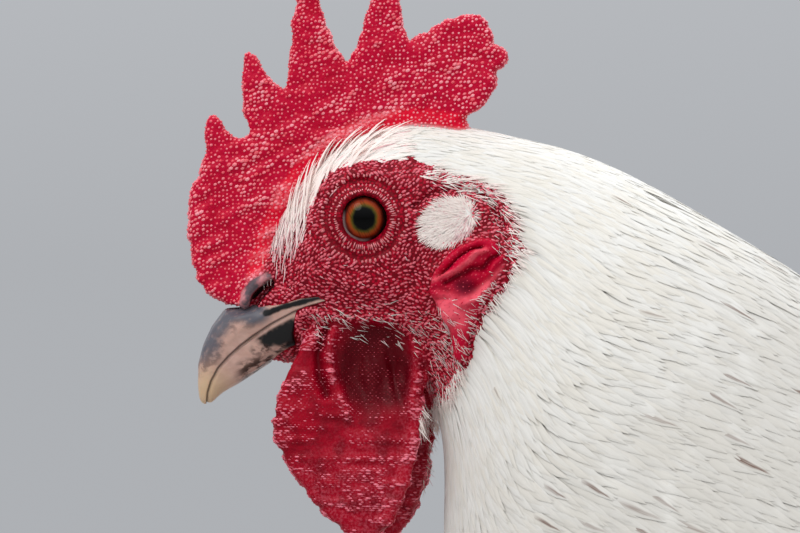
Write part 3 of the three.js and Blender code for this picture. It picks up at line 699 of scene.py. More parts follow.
def skin():
    """One closed skin in place of every flesh node, with its masks stored for the material."""
    head_grid, head, parts = head_field()
    head_piece = make_object("skin", *head_grid.surface_of(head))
    body_grid, body, sides = body_field()
    body_piece = make_object("skin_body", *body_grid.surface_of(body))
    leg_grid, leg = leg_field()
    points, quads = leg_grid.surface_of(leg)
    left = make_object("skin_leg_left", points, quads)
    right = make_object("skin_leg_right", points * (-1, 1, 1), quads[:, ::-1])
    whole = united([head_piece, body_piece, left, right])
    mesh = whole.data
    mesh.polygons.foreach_set("use_smooth", np.full(len(mesh.polygons), True))
    points, normals = points_of(mesh), normals_of(mesh)
    masks = skin_masks(points, head_grid, parts)
    carved, hollow = carve_skin(points, normals, masks)
    on_leg = masks["leg"] > 0
    scale_height, scute = leg_relief(points[on_leg], normals[on_leg])
    carved[on_leg] += normals[on_leg] * (masks["leg"][on_leg] * scale_height)[:, None]
    carved[:, 2] = np.maximum(carved[:, 2], FLOOR_Z)
    set_points(mesh, carved)
    for name in MASKS:
        set_value(mesh, name, masks[name])
    set_value(mesh, "hollow", hollow / 3)
    all_scutes = np.ones(len(points))
    all_scutes[on_leg] = scute
    set_value(mesh, "scute", all_scutes)
    set_value(mesh, "wrinkle", smoothstep(0.05, 0.8, comb_wrinkle(points)) * masks["comb"])
    skin_markings(whole)
    enter(whole, skin_material())
    flesh = ["head", "comb", "neck", "trunk", "rump"]
    pairs = ["ear_tuft", "earlobe", "wattle", "wing", "thigh", "shank", "foot"]
    pairs += [f"toe_{toe}" for toe in ("inner", "middle", "outer", "hind")]
    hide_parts(*flesh, *[f"{name}_{side}" for name in pairs for side, _ in SIDES])
    return whole, HeightMap(body_grid, sides)


# ---------------------------------------------------------------- materials

def linear(red, green, blue):
    """A colour given as on a screen, from 0 to 255, as Blender's linear numbers."""
    parts = [c / 12.92 if c <= 0.04045 else ((c + 0.055) / 1.055) ** 2.4
             for c in (red / 255, green / 255, blue / 255)]
    return (*parts, 1.0)


class Material:
    """A node material that is built up with short calls, each of which gives a socket."""

    def __init__(self, name, **shader):
        self.material = bpy.data.materials.new(name)
        self.material.use_nodes = True
        self.tree = self.material.node_tree
        self.shader = self.tree.nodes["Principled BSDF"]
        self.place = self.node("ShaderNodeTexCoord").outputs["Object"]
        for socket, value in shader.items():
            self.set(self.shader.inputs[socket.replace("_", " ")], value)

    def set(self, socket, value):
        """Links a socket to an input, or gives the input a fixed value."""
        if isinstance(value, bpy.types.NodeSocket):
            self.tree.links.new(value, socket)
        else:
            socket.default_value = value

    def node(self, kind, inputs=(), **settings):
        """A new node with its settings, and its inputs by their names or numbers."""
        made = self.tree.nodes.new(kind)
        for name, value in settings.items():
            setattr(made, name, value)
        for name, value in dict(inputs).items():
            self.set(made.inputs[name], value)
        return made

    def value(self, name):
        """A number stored on the mesh by set_value."""
        return self.node("ShaderNodeAttribute", attribute_name=name).outputs["Fac"]

    def noise(self, size, detail=3, place=None):
        """Soft noise from 0 to 1 with bumps about size metres across."""
        inputs = {"Vector": place or self.place, "Scale": 1 / size, "Detail": detail, "Roughness": 0.55}
        return self.node("ShaderNodeTexNoise", inputs).outputs["Fac"]

    def cells(self, size, place):
        """Distance to the nearest of scattered points about size metres apart, as a share of it."""
        return self.node("ShaderNodeTexVoronoi", {"Vector": place, "Scale": 1 / size}).outputs["Distance"]

    def vector(self, operation, a, b=(0, 0, 0)):
        return self.node("ShaderNodeVectorMath", {0: a, 1: b}, operation=operation).outputs[0]

    def stretched(self, factors):
        """The object's coordinates scaled along each axis."""
        return self.vector("MULTIPLY", self.place, factors)

    def shaken(self, place, amount, size):
        """A place moved by up to about amount by noise of a size."""
        noise = self.node("ShaderNodeTexNoise", {"Vector": self.place, "Scale": 1 / size, "Detail": 2})
        return self.vector("ADD", place, self.vector("MULTIPLY", noise.outputs["Color"], (amount,) * 3))

    def barbs(self, across, along):
        """Noise drawn out along a feather's barbs, different on each plume."""
        place = self.node("ShaderNodeCombineXYZ", {
            "X": self.times(self.value("side_mm"), across),
            "Y": self.times(self.value("run_mm"), along),
            "Z": self.times(self.value("tone"), 60),
        }).outputs[0]
        return self.node("ShaderNodeTexNoise", {"Vector": place, "Scale": 1.0, "Detail": 3}).outputs["Fac"]

    def math(self, operation, a, b=0.0, clamp=False):
        return self.node("ShaderNodeMath", {0: a, 1: b}, operation=operation, use_clamp=clamp).outputs[0]

    def times(self, a, b):
        return self.math("MULTIPLY", a, b)

    def span(self, value, low, high, out_low=0.0, out_high=1.0):
        """A value stretched from one range to another, with soft ends."""
        inputs = {"Value": value, "From Min": low, "From Max": high, "To Min": out_low, "To Max": out_high}
        return self.node("ShaderNodeMapRange", inputs, interpolation_type="SMOOTHSTEP").outputs["Result"]

    def blend(self, a, b, share):
        """The colour a where share is 0 and b where it is 1."""
        made = self.node("ShaderNodeMix", data_type="RGBA")
        for socket, value in zip((made.inputs[0], made.inputs[6], made.inputs[7]), (share, a, b)):
            self.set(socket, value)
        return made.outputs[2]

    def bump(self, height, distance, strength):
        """A normal bent as by a relief up to distance metres high."""
        inputs = {"Height": height, "Distance": distance, "Strength": strength}
        return self.node("ShaderNodeBump", inputs).outputs["Normal"]

    def finish(self, colour, normal=None):
        """The whole material, with its colour and its bent normal."""
        self.set(self.shader.inputs["Base Color"], colour)
        if normal:
            self.set(self.shader.inputs["Normal"], normal)
        return self.material


# The shades of the bare skin, the coat and the legs.
COMB_RED = linear(228, 2, 46)
COMB_SHADE = linear(184, 0, 34)
COMB_PINK = linear(255, 164, 172)
FACE_RED = linear(178, 2, 38)
FACE_SHADE = linear(112, 0, 18)
FACE_PINK = linear(240, 128, 142)
WATTLE_RED = linear(158, 0, 30)
WATTLE_SHADE = linear(86, 0, 12)
WATTLE_PINK = linear(248, 130, 148)
LOBE_RED = linear(190, 2, 48)
LOBE_PINK = linear(240, 96, 112)
LOBE_PURPLE = linear(104, 14, 48)
COAT_WHITE = linear(233, 231, 225)
LEG_SKIN = linear(220, 184, 160)
LEG_SHADOW = linear(180, 128, 106)


def skin_material():
    """Bare red skin of the comb, face, wattles and lobes, scaly legs, and white skin under the coat."""
    m = Material("bare_skin", Roughness=0.42, Subsurface_Weight=0.1, Subsurface_Scale=0.0016,
                 Subsurface_Radius=(1.0, 0.25, 0.15), Specular_IOR_Level=0.1)
    comb, wattle, lobe = m.value("comb"), m.value("wattle"), m.value("lobe")
    white, leg, hollow = m.value("white"), m.value("leg"), m.value("hollow")
    patches = m.noise(0.004, 3)
    fine = m.noise(0.0006, 3)
    grain = m.cells(0.0007, m.shaken(m.place, 0.0004, 0.001))

    mottled = m.span(patches, 0.4, 0.7, 0, 0.55)
    # painted shade: darker red in the pits between the small bumps of the comb and face
    pits = m.span(grain, 0.25, 0.6)
    comb_colour = m.blend(m.blend(COMB_RED, COMB_SHADE, mottled), COMB_SHADE, m.times(pits, 0.4))
    # pink along the crests of the comb's wrinkles: partly its own paler skin, partly painted highlight
    ridge = m.times(m.value("wrinkle"), m.span(fine, 0.4, 0.62, 0.1, 0.8))
    comb_colour = m.blend(comb_colour, COMB_PINK, ridge)
    face_colour = m.blend(m.blend(FACE_RED, FACE_SHADE, mottled), FACE_SHADE, pits)
    # pink flecks where they crowd on the wattles: partly their own pale specks, partly painted highlight
    wattle_colour = m.blend(m.blend(WATTLE_RED, WATTLE_SHADE, mottled), WATTLE_PINK,
                            m.times(m.value("crowded"), m.span(fine, 0.42, 0.66, 0, 0.18)))
    # paler pink on the lobe: partly its own colour, partly painted highlight
    lobe_colour = m.blend(LOBE_RED, LOBE_PINK, m.value("pink_and_highlight"))
    # painted shade: purple darkening in the lobe's recess
    lobe_colour = m.blend(lobe_colour, LOBE_PURPLE, m.value("recess_shade"))
    lobe_colour = m.blend(lobe_colour, FACE_RED, m.span(patches, 0.45, 0.7, 0, 0.6))

    colour = m.blend(face_colour, comb_colour, comb)
    colour = m.blend(colour, wattle_colour, wattle)
    colour = m.blend(colour, lobe_colour, lobe)
    # painted shade: darker red in the hollows and grooves of the wattles, lobes and face, by their depth
    colour = m.blend(colour, WATTLE_SHADE, m.math("MULTIPLY", hollow, 1.4, clamp=True))
    flap_colour = m.blend(linear(196, 130, 134), linear(96, 84, 90), m.span(patches, 0.42, 0.62))
    colour = m.blend(colour, flap_colour, m.value("flap"))
    # painted shade inside the nostril slit
    colour = m.blend(colour, linear(30, 12, 12), m.value("nostril"))
    colour = m.blend(colour, COAT_WHITE, white)
    scale_gap = m.span(m.value("scute"), 0.0, 0.35, 1.0, 0.0)
    leg_colour = m.blend(LEG_SKIN, linear(232, 204, 176), m.span(patches, 0.35, 0.65))
    colour = m.blend(colour, m.blend(leg_colour, LEG_SHADOW, scale_gap), leg)
    height = m.math("ADD", m.times(grain, -0.6), m.times(fine, 0.5))
    return m.finish(colour, m.bump(height, 0.00022, 0.7))


def bead_material(name, ground, tip, strength):
    """Small raised papillae, pale at their tips: partly their own paler skin, partly painted highlight."""
    m = Material(name, Roughness=0.36, Subsurface_Weight=0.1, Subsurface_Scale=0.001,
                 Specular_IOR_Level=0.22)
    share = m.times(m.span(m.value("rise"), 0.0, 0.8), m.value("pale"))
    colour = m.blend(ground, tip, m.times(share, strength))
    fine = m.noise(0.0003, 2)
    return m.finish(colour, m.bump(fine, 0.00005, 0.5))


def skin_markings(piece):
    """Where the pink flecks crowd and where the lobe is paler pink, both partly painted highlight, and where
    painted shade darkens the lobe's recess, stored on the final skin.
    """
    points = points_of(piece.data)
    y, z = points[:, 1], points[:, 2]
    # the flecks crowd on the wattles' rims, ridge and lower part: partly their own pale specks, partly
    # painted highlight
    rim = line_distance(y, z, [(12, -30), (12, -40), (12, -50), (9, -60), (5, -68), (-4, -68), (-12, -60)])
    crowded = smoothstep(7, 1, rim) * smoothstep(-26, -34, z)
    crowded = np.maximum(crowded, smoothstep(-40, -60, z) * smoothstep(-16, -2, y) * 0.7)
    crowded += 0.6 * smoothstep(2.5, 0.5, line_distance(y, z, WATTLE_RELIEF[1][0]))
    set_value(piece.data, "crowded", np.clip(crowded + 0.25 * cloud(points, 3, 12), 0, 1))
    # paler pink on the lobe's lower bulge and along two ridges: partly its own colour, partly painted
    # highlight
    pink_and_highlight = smoothstep(6, 1.5, np.hypot((y - 19.4) / 1.1, (z + 21.2) / 1.1))
    pink_and_highlight = np.maximum(pink_and_highlight, 0.7 * smoothstep(0.9, 0.3, line_distance(y, z, LOBE_RELIEF[2][0])))
    pink_and_highlight = np.maximum(pink_and_highlight, 0.95 * smoothstep(1.8, 0.5, line_distance(y, z, LOBE_RELIEF[5][0])))
    set_value(piece.data, "pink_and_highlight", np.clip(pink_and_highlight * (0.85 + 0.4 * cloud(points, 1.6, 13)), 0, 1))
    slit, flap = line_distance(y, z, NOSTRIL), line_distance(y, z, NOSTRIL_FLAP)
    far_front = np.abs(points[:, 0]) > 3.5
    # painted shade inside the nostril slit
    set_value(piece.data, "nostril", smoothstep(1.5, 1.0, slit) * smoothstep(0.9, 1.3, flap) * far_front)
    set_value(piece.data, "flap", smoothstep(1.4, 1.0, flap) * far_front)
    # painted shade: purple darkening in the recess in the lobe
    set_value(piece.data, "recess_shade", 0.75 * smoothstep(3.6, 0.8, np.hypot(y - 22.8, (z + 15.6) * 1.3)))


# ---------------------------------------------------------------- eyes

EYE_RINGS = 56
EYE_AROUND = 72
CORNEA_RISE = 0.35


def eye(name, side, material):
    """An eyeball whose polar axis looks out of the head, with a clear bulge over the iris."""
    angles = np.linspace(0, math.pi, EYE_RINGS) ** 1.3 / math.pi ** 0.3
    turns = even_turns(EYE_AROUND)
    angle, turn = np.meshgrid(angles[1:-1], turns, indexing="ij")
    radius = EYEBALL_RADIUS + CORNEA_RISE * np.exp(-(angle / 0.5) ** 2)
    points = np.stack([radius * np.cos(angle), radius * np.sin(angle) * np.cos(turn),
                       radius * np.sin(angle) * np.sin(turn)], axis=-1).reshape(-1, 3)
    poles = np.array([[EYEBALL_RADIUS + CORNEA_RISE, 0, 0], [-EYEBALL_RADIUS, 0, 0]])
    points = (np.concatenate([points, poles]) + (EYE_SIDE, 0, 0)) * (side, 1, 1)
    faces = [group[:, ::-side] for group in tube_faces(len(angles) - 2, EYE_AROUND)]
    piece = make_object(name + "_ball", points, *faces)
    from_axis = np.hypot(points[:, 1], points[:, 2] * 0.94)
    set_value(piece.data, "from_axis", from_axis)
    forward_and_down = (-0.75 * points[:, 1] - 0.66 * points[:, 2]) / np.maximum(from_axis, 0.1)
    low_front = smoothstep(0.35, 0.8, forward_and_down)
    third_lid = smoothstep(4.35, 4.6, from_axis) * smoothstep(5.4, 5.0, from_axis) * low_front
    set_value(piece.data, "third_lid", 0.85 * third_lid)
    enter(piece, material)
    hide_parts(name)


def eye_material():
    """Black pupil, olive inner ring, orange iris with spokes, and a dark rim, under a wet coat."""
    m = Material("wet_eye", Roughness=0.3, Specular_IOR_Level=0.0, Coat_Weight=0.6, Coat_Roughness=0.02,
                 Coat_IOR=1.24)
    spokes = m.noise(0.0006, 3, m.vector("NORMALIZE", m.stretched((0, 1, 1))))
    from_axis = m.math("ADD", m.value("from_axis"), m.times(m.noise(0.0012, 2), 0.5))
    ramp = m.node("ShaderNodeValToRGB", {"Fac": m.math("DIVIDE", from_axis, 6.5)})
    stops = [(0.0, (1, 1, 1)), (0.385, (2, 2, 2)), (0.42, (30, 32, 10)), (0.48, (84, 72, 20)),
             (0.55, (146, 66, 18)), (0.62, (140, 42, 12)), (0.68, (84, 20, 9)), (0.74, (18, 5, 5)),
             (1.0, (6, 2, 2))]
    elements = ramp.color_ramp.elements
    elements[0].color, elements[1].color = linear(*stops[0][1]), linear(*stops[-1][1])
    for at, shade in stops[1:-1]:
        elements.new(at).color = linear(*shade)
    colour = m.blend(ramp.outputs["Color"], linear(60, 24, 8),
                     m.times(m.span(spokes, 0.45, 0.7, 0, 0.5), m.span(from_axis, 2.7, 3.2)))
    return m.finish(m.blend(colour, linear(176, 150, 148), m.value("third_lid")))


# ---------------------------------------------------------------- beak

BEAK_STEP = 0.25
MOUTH_LINE = [(-8, -18.6), (-13.2, -20.1), (-16.2, -21.3), (-21.3, -24), (-25.3, -26.6), (-28.2, -28.8),
              (-31, -31.3), (-33.5, -34.1), (-35.1, -37.1), (-35.9, -39.6), (-36.2, -43)]
ABOVE_MOUTH = MOUTH_LINE + [(-50, -43), (-50, -8), (-8, -8)]

# The horn's rear edge over the corner of the mouth, in side view.
HORN_AT_GAPE = [
    (-29, -21.6), (-25, -21.3), (-22, -20.5), (-14.4, -18.2), (-9.6, -17.7), (-8.6, -18.6), (-11.6, -20),
    (-14.6, -21.4), (-15.6, -23.5), (-16, -26.6), (-15.4, -28.9), (-18.5, -30.2), (-21.6, -31.6), (-28, -34),
]


def beak(material):
    """The two horn halves of the beak, which meet along a thin dark mouth line."""
    grid = Grid((-13, -40, -44), (13, -6, -14), BEAK_STEP)
    upper = blurred(grid.field_of(*node_surface("beak_upper"), band=4), 2)
    lower = blurred(grid.field_of(*node_surface("beak_lower"), band=4), 2)
    whole = smooth_min(upper, lower, 6.5) - 0.1
    face = grid.field_of(*loft(0, 5), band=4)
    plate = smooth_max(np.abs(face) - 0.9, outline_distance(grid.y, grid.z, HORN_AT_GAPE), 0.6)
    whole = smooth_min(whole, plate, 1.2)
    above = outline_distance(grid.y, grid.z, ABOVE_MOUTH)
    inset = 0.2 + 0.25 * smoothstep(1.0, 0, above)
    upper_half = smooth_max(whole, above + 0.06, 0.2)
    lower_half = smooth_max(whole + inset, -above - 0.5, 0.3)
    for name, field in (("beak_upper", upper_half), ("beak_lower", lower_half)):
        piece = make_object(name + "_horn", *grid.surface_of(field))
        beak_markings(piece)
        enter(piece, material)
        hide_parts(name)


def beak_markings(piece):
    """How dark, slate-coloured, brown and yellow the horn is at each place, with painted shade under
    the lower half and along the mouth line.
    """
    points = points_of(piece.data)
    y, z = points[:, 1], points[:, 2]
    noisy = 0.9 * cloud(points, 2.6, 21) + 0.5 * cloud(points, 0.9, 22)
    above = outline_distance(y, z, ABOVE_MOUTH)
    upper = above < 0
    ridge = line_distance(y, z, [(-28, -20.4), (-31.8, -20.7), (-34.1, -23.8), (-35.9, -27), (-37.3, -30.7)])
    slate = smoothstep(4.6, 0.8, ridge + noisy) * smoothstep(-36, -30, z)
    base = smoothstep(3.6, 1.2, line_distance(y, z, [(-30, -21.4), (-24, -21.6)]) + 0.6 * noisy)
    slate = np.maximum(slate, base)
    band = line_distance(y, z, [(-22.5, -21.6), (-18, -20.0), (-13, -18.6), (-9, -17.8)]) + 0.35 * noisy
    patch = line_distance(y, z, [(-22.4, -27.4), (-19.5, -26.6), (-16, -25.2), (-16, -28)]) + 0.7 * noisy
    lower_dark = smoothstep(3.2, 1.4, patch + 0.5 * cloud(points, 0.8, 23)) * smoothstep(0.6, 1.4, above)
    # painted shade: a thin dark line along the mouth, where the two halves meet
    mouth = smoothstep(0.3, 0.12, np.abs(above)) * (y < -9)
    dark = np.maximum(np.where(upper, smoothstep(1.0, 0.5, band), lower_dark), 0.6 * mouth)
    # painted shade along the underside of the lower half and round its dark patch
    shade = smoothstep(4.6, 1.2, line_distance(y, z, [(-14, -29.5), (-20, -32), (-26, -35)]) + 0.6 * noisy)
    shade = np.maximum(shade, smoothstep(6.5, 3, patch) * smoothstep(1, 3, above))
    set_value(piece.data, "slate", np.where(upper, slate, 0))
    set_value(piece.data, "dark", dark)
    # brown along the upper half's ridge, and on the lower half the painted shade above
    brown = np.where(upper, smoothstep(6.8, 3.2, ridge + 1.4 * noisy) * 0.6, shade)
    set_value(piece.data, "brown", brown)
    set_value(piece.data, "yellow", smoothstep(9, 1, np.hypot(y + 36, z + 40)))


def beak_material():
    """Smooth layered horn from pinkish cream to slate, with growth lines along it."""
    m = Material("beak_horn", Roughness=0.36, Subsurface_Weight=0.1, Subsurface_Scale=0.001,
                 Specular_IOR_Level=0.25, Coat_Weight=0.08, Coat_Roughness=0.2)
    streaks = m.noise(0.0014, 4, m.shaken(m.stretched((1, 0.55, 0.9)), 0.0006, 0.003))
    cream = m.blend(linear(176, 136, 122), linear(214, 178, 164), streaks)
    colour = m.blend(cream, linear(204, 172, 138), m.value("yellow"))
    # brown streaks on the upper half, painted shade on the lower half
    brown = m.times(m.value("brown"), m.span(streaks, 0.4, 0.6))
    colour = m.blend(colour, linear(66, 38, 28), brown)
    slate = m.times(m.value("slate"), m.span(streaks, 0.2, 0.5, 0.55, 1))
    colour = m.blend(colour, linear(88, 86, 94), slate)
    # dark bands and patches of the horn, and the painted shade of the mouth line
    colour = m.blend(colour, linear(12, 10, 11), m.value("dark"))
    grain = m.noise(0.0005, 3, m.stretched((1, 0.3, 0.3)))
    return m.finish(colour, m.bump(m.math("ADD", grain, streaks), 0.0001, 0.5))


# ---------------------------------------------------------------- camera, light and floor

PIXELS_PER_MM = 4.4
FRAME_WIDTH = 800
VIEW_CENTRE = (8.2, -10.9)   # y and z of the middle of the view
VIEW_PLANE = 15              # side of the bird on which the scale holds
LENS = 300
SENSOR = 36
FLOOR_REACH = 6000


def camera():
    """A long lens, level, on the bird's left."""
    data = bpy.data.cameras.new("camera")
    data.lens = LENS
    data.sensor_width = SENSOR
    seen = FRAME_WIDTH / PIXELS_PER_MM
    distance = VIEW_PLANE + seen * LENS / SENSOR
    place = bpy.data.objects.new("camera", data)
    place.location = Vector(EYE_ORIGIN + np.array([distance, *VIEW_CENTRE]) * MM)
    place.rotation_euler = (math.radians(90), 0, math.radians(90))
    data.clip_start, data.clip_end = 0.05, 60
    bpy.context.scene.collection.objects.link(place)
    bpy.context.scene.camera = place


# Name, place and width in metres, watts and colour. Each faces the head.
LIGHTS = [
    ("key", (1.3, -1.1, 2.1), 1.1, 17, (1, 0.97, 0.93)),
    ("back", (-1.2, 0.9, 1.6), 1.2, 8, (1, 1, 1)),
]
LIGHT_TARGET = Vector((0, EYE_ORIGIN[1], 0.45))


def soft_light(name, place, size, power, colour):
    """A round light that faces the head."""
    data = bpy.data.lights.new(name, "AREA")
    data.shape = "DISK"
    data.size = size
    data.energy = power
    data.color = colour
    lamp = bpy.data.objects.new(name, data)
    lamp.location = place
    lamp.rotation_euler = (LIGHT_TARGET - Vector(place)).to_track_quat("-Z", "Y").to_euler()
    bpy.context.scene.collection.objects.link(lamp)


def studio():
    """Pale surroundings that are brighter overhead, two soft lights and a grey floor."""
    world = bpy.data.worlds.new("studio")
    world.use_nodes = True
    tree = world.node_tree
    background = tree.nodes["Background"]
    direction = tree.nodes.new("ShaderNodeSeparateXYZ")
    tree.links.new(tree.nodes.new("ShaderNodeTexCoord").outputs["Generated"], direction.inputs[0])
    ramp = tree.nodes.new("ShaderNodeMapRange")
    ramp.inputs["From Max"].default_value = 0.9
    ramp.inputs["To Min"].default_value = 0.46
    ramp.inputs["To Max"].default_value = 1.5
    tree.links.new(direction.outputs["Z"], ramp.inputs["Value"])
    tree.links.new(ramp.outputs["Result"], background.inputs["Strength"])
    background.inputs["Color"].default_value = (0.92, 0.95, 1, 1)
    bpy.context.scene.world = world
    bpy.context.scene.view_settings.view_transform = "Standard"
    for name, *light in LIGHTS:
        soft_light(name, *light)
    corners = np.array([(-1, -1), (1, -1), (1, 1), (-1, 1)]) * FLOOR_REACH
    floor = make_object("floor", np.column_stack([corners, np.full(4, FLOOR_Z)]), np.array([[0, 1, 2, 3]]))
    floor.data.materials.append(Material("floor", Base_Color=(0.42, 0.42, 0.41, 1), Roughness=0.9).material)


# ---------------------------------------------------------------- surfaces that feathers grow on

STEP = 0.01   # of u and v, over which a surface's tangents are measured
SPREAD = (0.7548776662, 0.5698402910)   # steps whose multiples, less their whole part, fill a square evenly


class BodySurface:
    """The trunk, neck and crown by rib number and turn. Height 0 is the outline at the feather tips."""

    def place(self, rib, turn, height=0.0):
        return rib_point(rib, turn, height)

    def depth(self, rib, turn):
        """How far below height 0 the skin lies."""
        points = rib_point(rib, turn)
        head = coat_depth(points[..., 1], points[..., 2])
        return mix(head, body_depth(rib), smoothstep(BODY_START_RIB, HEAD_END_RIB, rib))


class WingSurface:
    """The outer side of a folded wing, by y and z."""

    def __init__(self, heights, side):
        self.heights = heights
        self.side = side

    def place(self, y, z, height=0.0):
        return np.stack([self.side * (self.heights.at(y, z) - 0.8 + height), y, z], axis=-1)

    def depth(self, y, z):
        return np.full(np.shape(y), 1.6)


class ThighSurface:
    """A thigh by its share of the way down, and a turn that is 0 in front and grows outwards."""

    def __init__(self, side):
        self.side = side

    def place(self, down, turn, height=0.0):
        shares = np.linspace(0, 1, len(THIGH))
        x, y, z, radius = (np.interp(down, shares, THIGH[:, column]) for column in range(4))
        reach = radius + height
        return np.stack([self.side * (x + reach * np.sin(turn)), y - reach * np.cos(turn), z], axis=-1)

    def depth(self, down, turn):
        return mix(THIGH_DEPTH, 1.5, smoothstep(0.6, 1, down))


def frame_at(surface, u, v):
    """A surface's two tangents and its outward normal."""
    here = surface.place(u, v)
    along = (surface.place(u + STEP, v) - here) / STEP
    across = (surface.place(u, v + STEP) - here) / STEP
    normal = unit(np.cross(along, across))
    outward = surface.place(u, v, 1.0) - here
    return along, across, normal * np.sign((normal * outward).sum(-1, keepdims=True))


def scatter(surface, u_range, v_range, each_area, seed):
    """Roots spread evenly over a stretch of a surface, about one on each_area square millimetres."""
    sample_u, sample_v = np.meshgrid(np.linspace(*u_range, 40), np.linspace(*v_range, 60))
    along, across, _ = frame_at(surface, sample_u, sample_v)
    largest = np.linalg.norm(np.cross(along, across), axis=-1).max()
    extent = (u_range[1] - u_range[0]) * (v_range[1] - v_range[0])
    count = int(largest * extent / each_area)
    turns = np.arange(count)
    u = u_range[0] + (u_range[1] - u_range[0]) * ((SPREAD[0] * turns + 0.37) % 1)
    v = v_range[0] + (v_range[1] - v_range[0]) * ((SPREAD[1] * turns + 0.61) % 1)
    along, across, _ = frame_at(surface, u, v)
    area = np.linalg.norm(np.cross(along, across), axis=-1)
    kept = np.random.default_rng(seed).random(count) < area / largest
    return u[kept], v[kept]


def tangent_steps(along, across, direction):
    """How far u and v change for a step of one millimetre along a direction in the surface."""
    aa = (along * along).sum(-1)
    ab = (along * across).sum(-1)
    bb = (across * across).sum(-1)
    da = (direction * along).sum(-1)
    db = (direction * across).sum(-1)
    det = np.maximum(aa * bb - ab * ab, 1e-9)
    return (da * bb - db * ab) / det, (db * aa - da * ab) / det


def walk(surface, u, v, length, heading, stops, turn_by):
    """Paths over a surface that follow a heading, each turned a little, as u and v at each stop."""
    path_u, path_v = [u], [v]
    for here, there in zip(stops, stops[1:]):
        along, across, normal = frame_at(surface, u, v)
        direction = heading(surface.place(u, v), u, v, along)
        direction = along_surface(direction, normal)
        angle = np.radians(turn_by)[:, None]
        direction = direction * np.cos(angle) + np.cross(normal, direction) * np.sin(angle)
        step_u, step_v = tangent_steps(along, across, direction)
        u = u + step_u * length * (there - here)
        v = v + step_v * length * (there - here)
        path_u.append(u)
        path_v.append(v)
    return np.stack(path_u, 1), np.stack(path_v, 1)


# ---------------------------------------------------------------- plumes

PATCH = 0.003         # a plume's share of the unwrap
SOFTNESS = 0.8        # how far a plume is shaded like the surface that it lies on
CROWN_TILT = 0.22     # how far its two edges are shaded outwards
BRISTLE_THICKNESS = 0.08


def along_surface(directions, normals):
    """Directions laid flat into the surface that has the normals."""
    return unit(directions - (directions * normals).sum(-1, keepdims=True) * normals)


def lay(surface, u, v, heading, length, width, seed, rings=5, thick=0.12, tip=2.5, rise=0.55, proud=0.5,
        sink=0.0, locks=1, fan=0.5, wander=5.0, lean=0.0, streak=0.0, uv_range=None):
    """Feathers on a surface from roots at u and v, each made of locks side by side, as chunks.

    Lengths are in millimetres. The root sits on the skin and the tip stands up to proud above the
    outline. tip is how blunt the end is, rise how soon a feather reaches the outline."""
    random = np.random.default_rng(seed)
    count = len(u)
    length = length * random.uniform(0.82, 1.14, count)
    width = width * random.uniform(0.85, 1.15, count)
    has_streak = (random.random(count) < streak) * random.uniform(0.5, 1, count)
    tone, lift = random.random(count), random.random(count)
    lift = np.maximum(lift, 1.6 * (has_streak > 0))
    turn_by = lean + random.normal(0, wander, count)
    (u_low, u_high), (v_low, v_high) = uv_range or ((u.min(), u.max() + 1e-6), (v.min(), v.max() + 1e-6))
    uv = 0.01 + 0.98 * np.stack([(u - u_low) / (u_high - u_low), (v - v_low) / (v_high - v_low)], axis=-1)
    stops = 1 - (1 - np.linspace(0, 1, rings)) ** 1.15
    depth = surface.depth(u, v)[:, None]
    chunks = []
    for lock in range(locks):
        place = 2 * (lock + 0.5) / locks - 1
        lock_length = length * (1 - 0.3 * place * place) * random.uniform(0.95, 1.04, count)
        path_u, path_v = walk(surface, u, v, lock_length, heading, stops, turn_by + 5 * place * (locks > 1))
        top = (proud * lift)[:, None] - 0.35 - 0.25 * place * place
        height = mix(-depth - 0.4, top, stops[None, :] ** rise) - sink * stops[None, :] ** 3
        points = surface.place(path_u, path_v, height)
        _, _, normals = frame_at(surface, path_u, path_v)
        side = unit(np.cross(unit(np.gradient(points, axis=1)), normals))
        spread = 0.5 * place * width[:, None] * np.minimum(1, 0.55 + fan * stops[None, :])
        points = points + side * spread[..., None]
        shape = np.minimum(1, 0.6 + 1.4 * stops) * (1 - stops ** tip) ** 0.7
        shape = np.maximum(shape, 0.06)
        lock_width = width if locks == 1 else 1.7 * width / locks
        chunks.append({
            "points": points, "normals": normals, "stops": stops, "place": place * (locks > 1),
            "half_width": 0.5 * lock_width[:, None] * shape[None, :],
            "thickness": np.broadcast_to(thick * np.maximum(shape, 0.3)[None, :], (count, rings)),
            "length": lock_length, "tone": np.clip(tone + random.normal(0, 0.05, count), 0, 1),
            "streak": has_streak * (1 - 0.6 * abs(place)) if locks > 1 else has_streak, "uv": uv,
        })
    return chunks


def bristles(name, material, points, normals, slope, length, width, lift, seed, rings=3, droop=0.5):
    """A coat piece of small straight plumes from points of the skin. slope is their direction in side
    view and lift how far they are raised from the skin, both in degrees."""
    random = np.random.default_rng(seed)
    count = len(points)
    length = length * random.uniform(0.7, 1.25, count)
    lift = np.radians(lift * random.uniform(0.6, 1.4, count))
    along = along_surface(side_view_direction(slope), normals)
    angle = random.normal(0, 0.22, count)[:, None]
    along = along * np.cos(angle) + np.cross(normals, along) * np.sin(angle)
    stops = np.linspace(0, 1, rings)
    out = length[:, None] * stops[None, :]
    up = out * np.sin(lift)[:, None] * (1 - droop * stops[None, :]) - 0.25 * (1 - stops[None, :])
    over = along[:, None] * (out * np.cos(lift)[:, None])[..., None]
    path = points[:, None] + over + normals[:, None] * up[..., None]
    shape = np.maximum(1 - stops ** 2.2, 0.12)
    make_coat(name, [{
        "points": path, "normals": np.broadcast_to(normals[:, None], path.shape), "stops": stops,
        "place": 0.0, "half_width": 0.5 * np.broadcast_to(width, count)[:, None] * shape[None, :],
        "thickness": np.broadcast_to(BRISTLE_THICKNESS * shape[None, :], (count, rings)),
        "length": length, "tone": random.random(count), "streak": np.zeros(count),
        "uv": around_head(points),
    }], material)


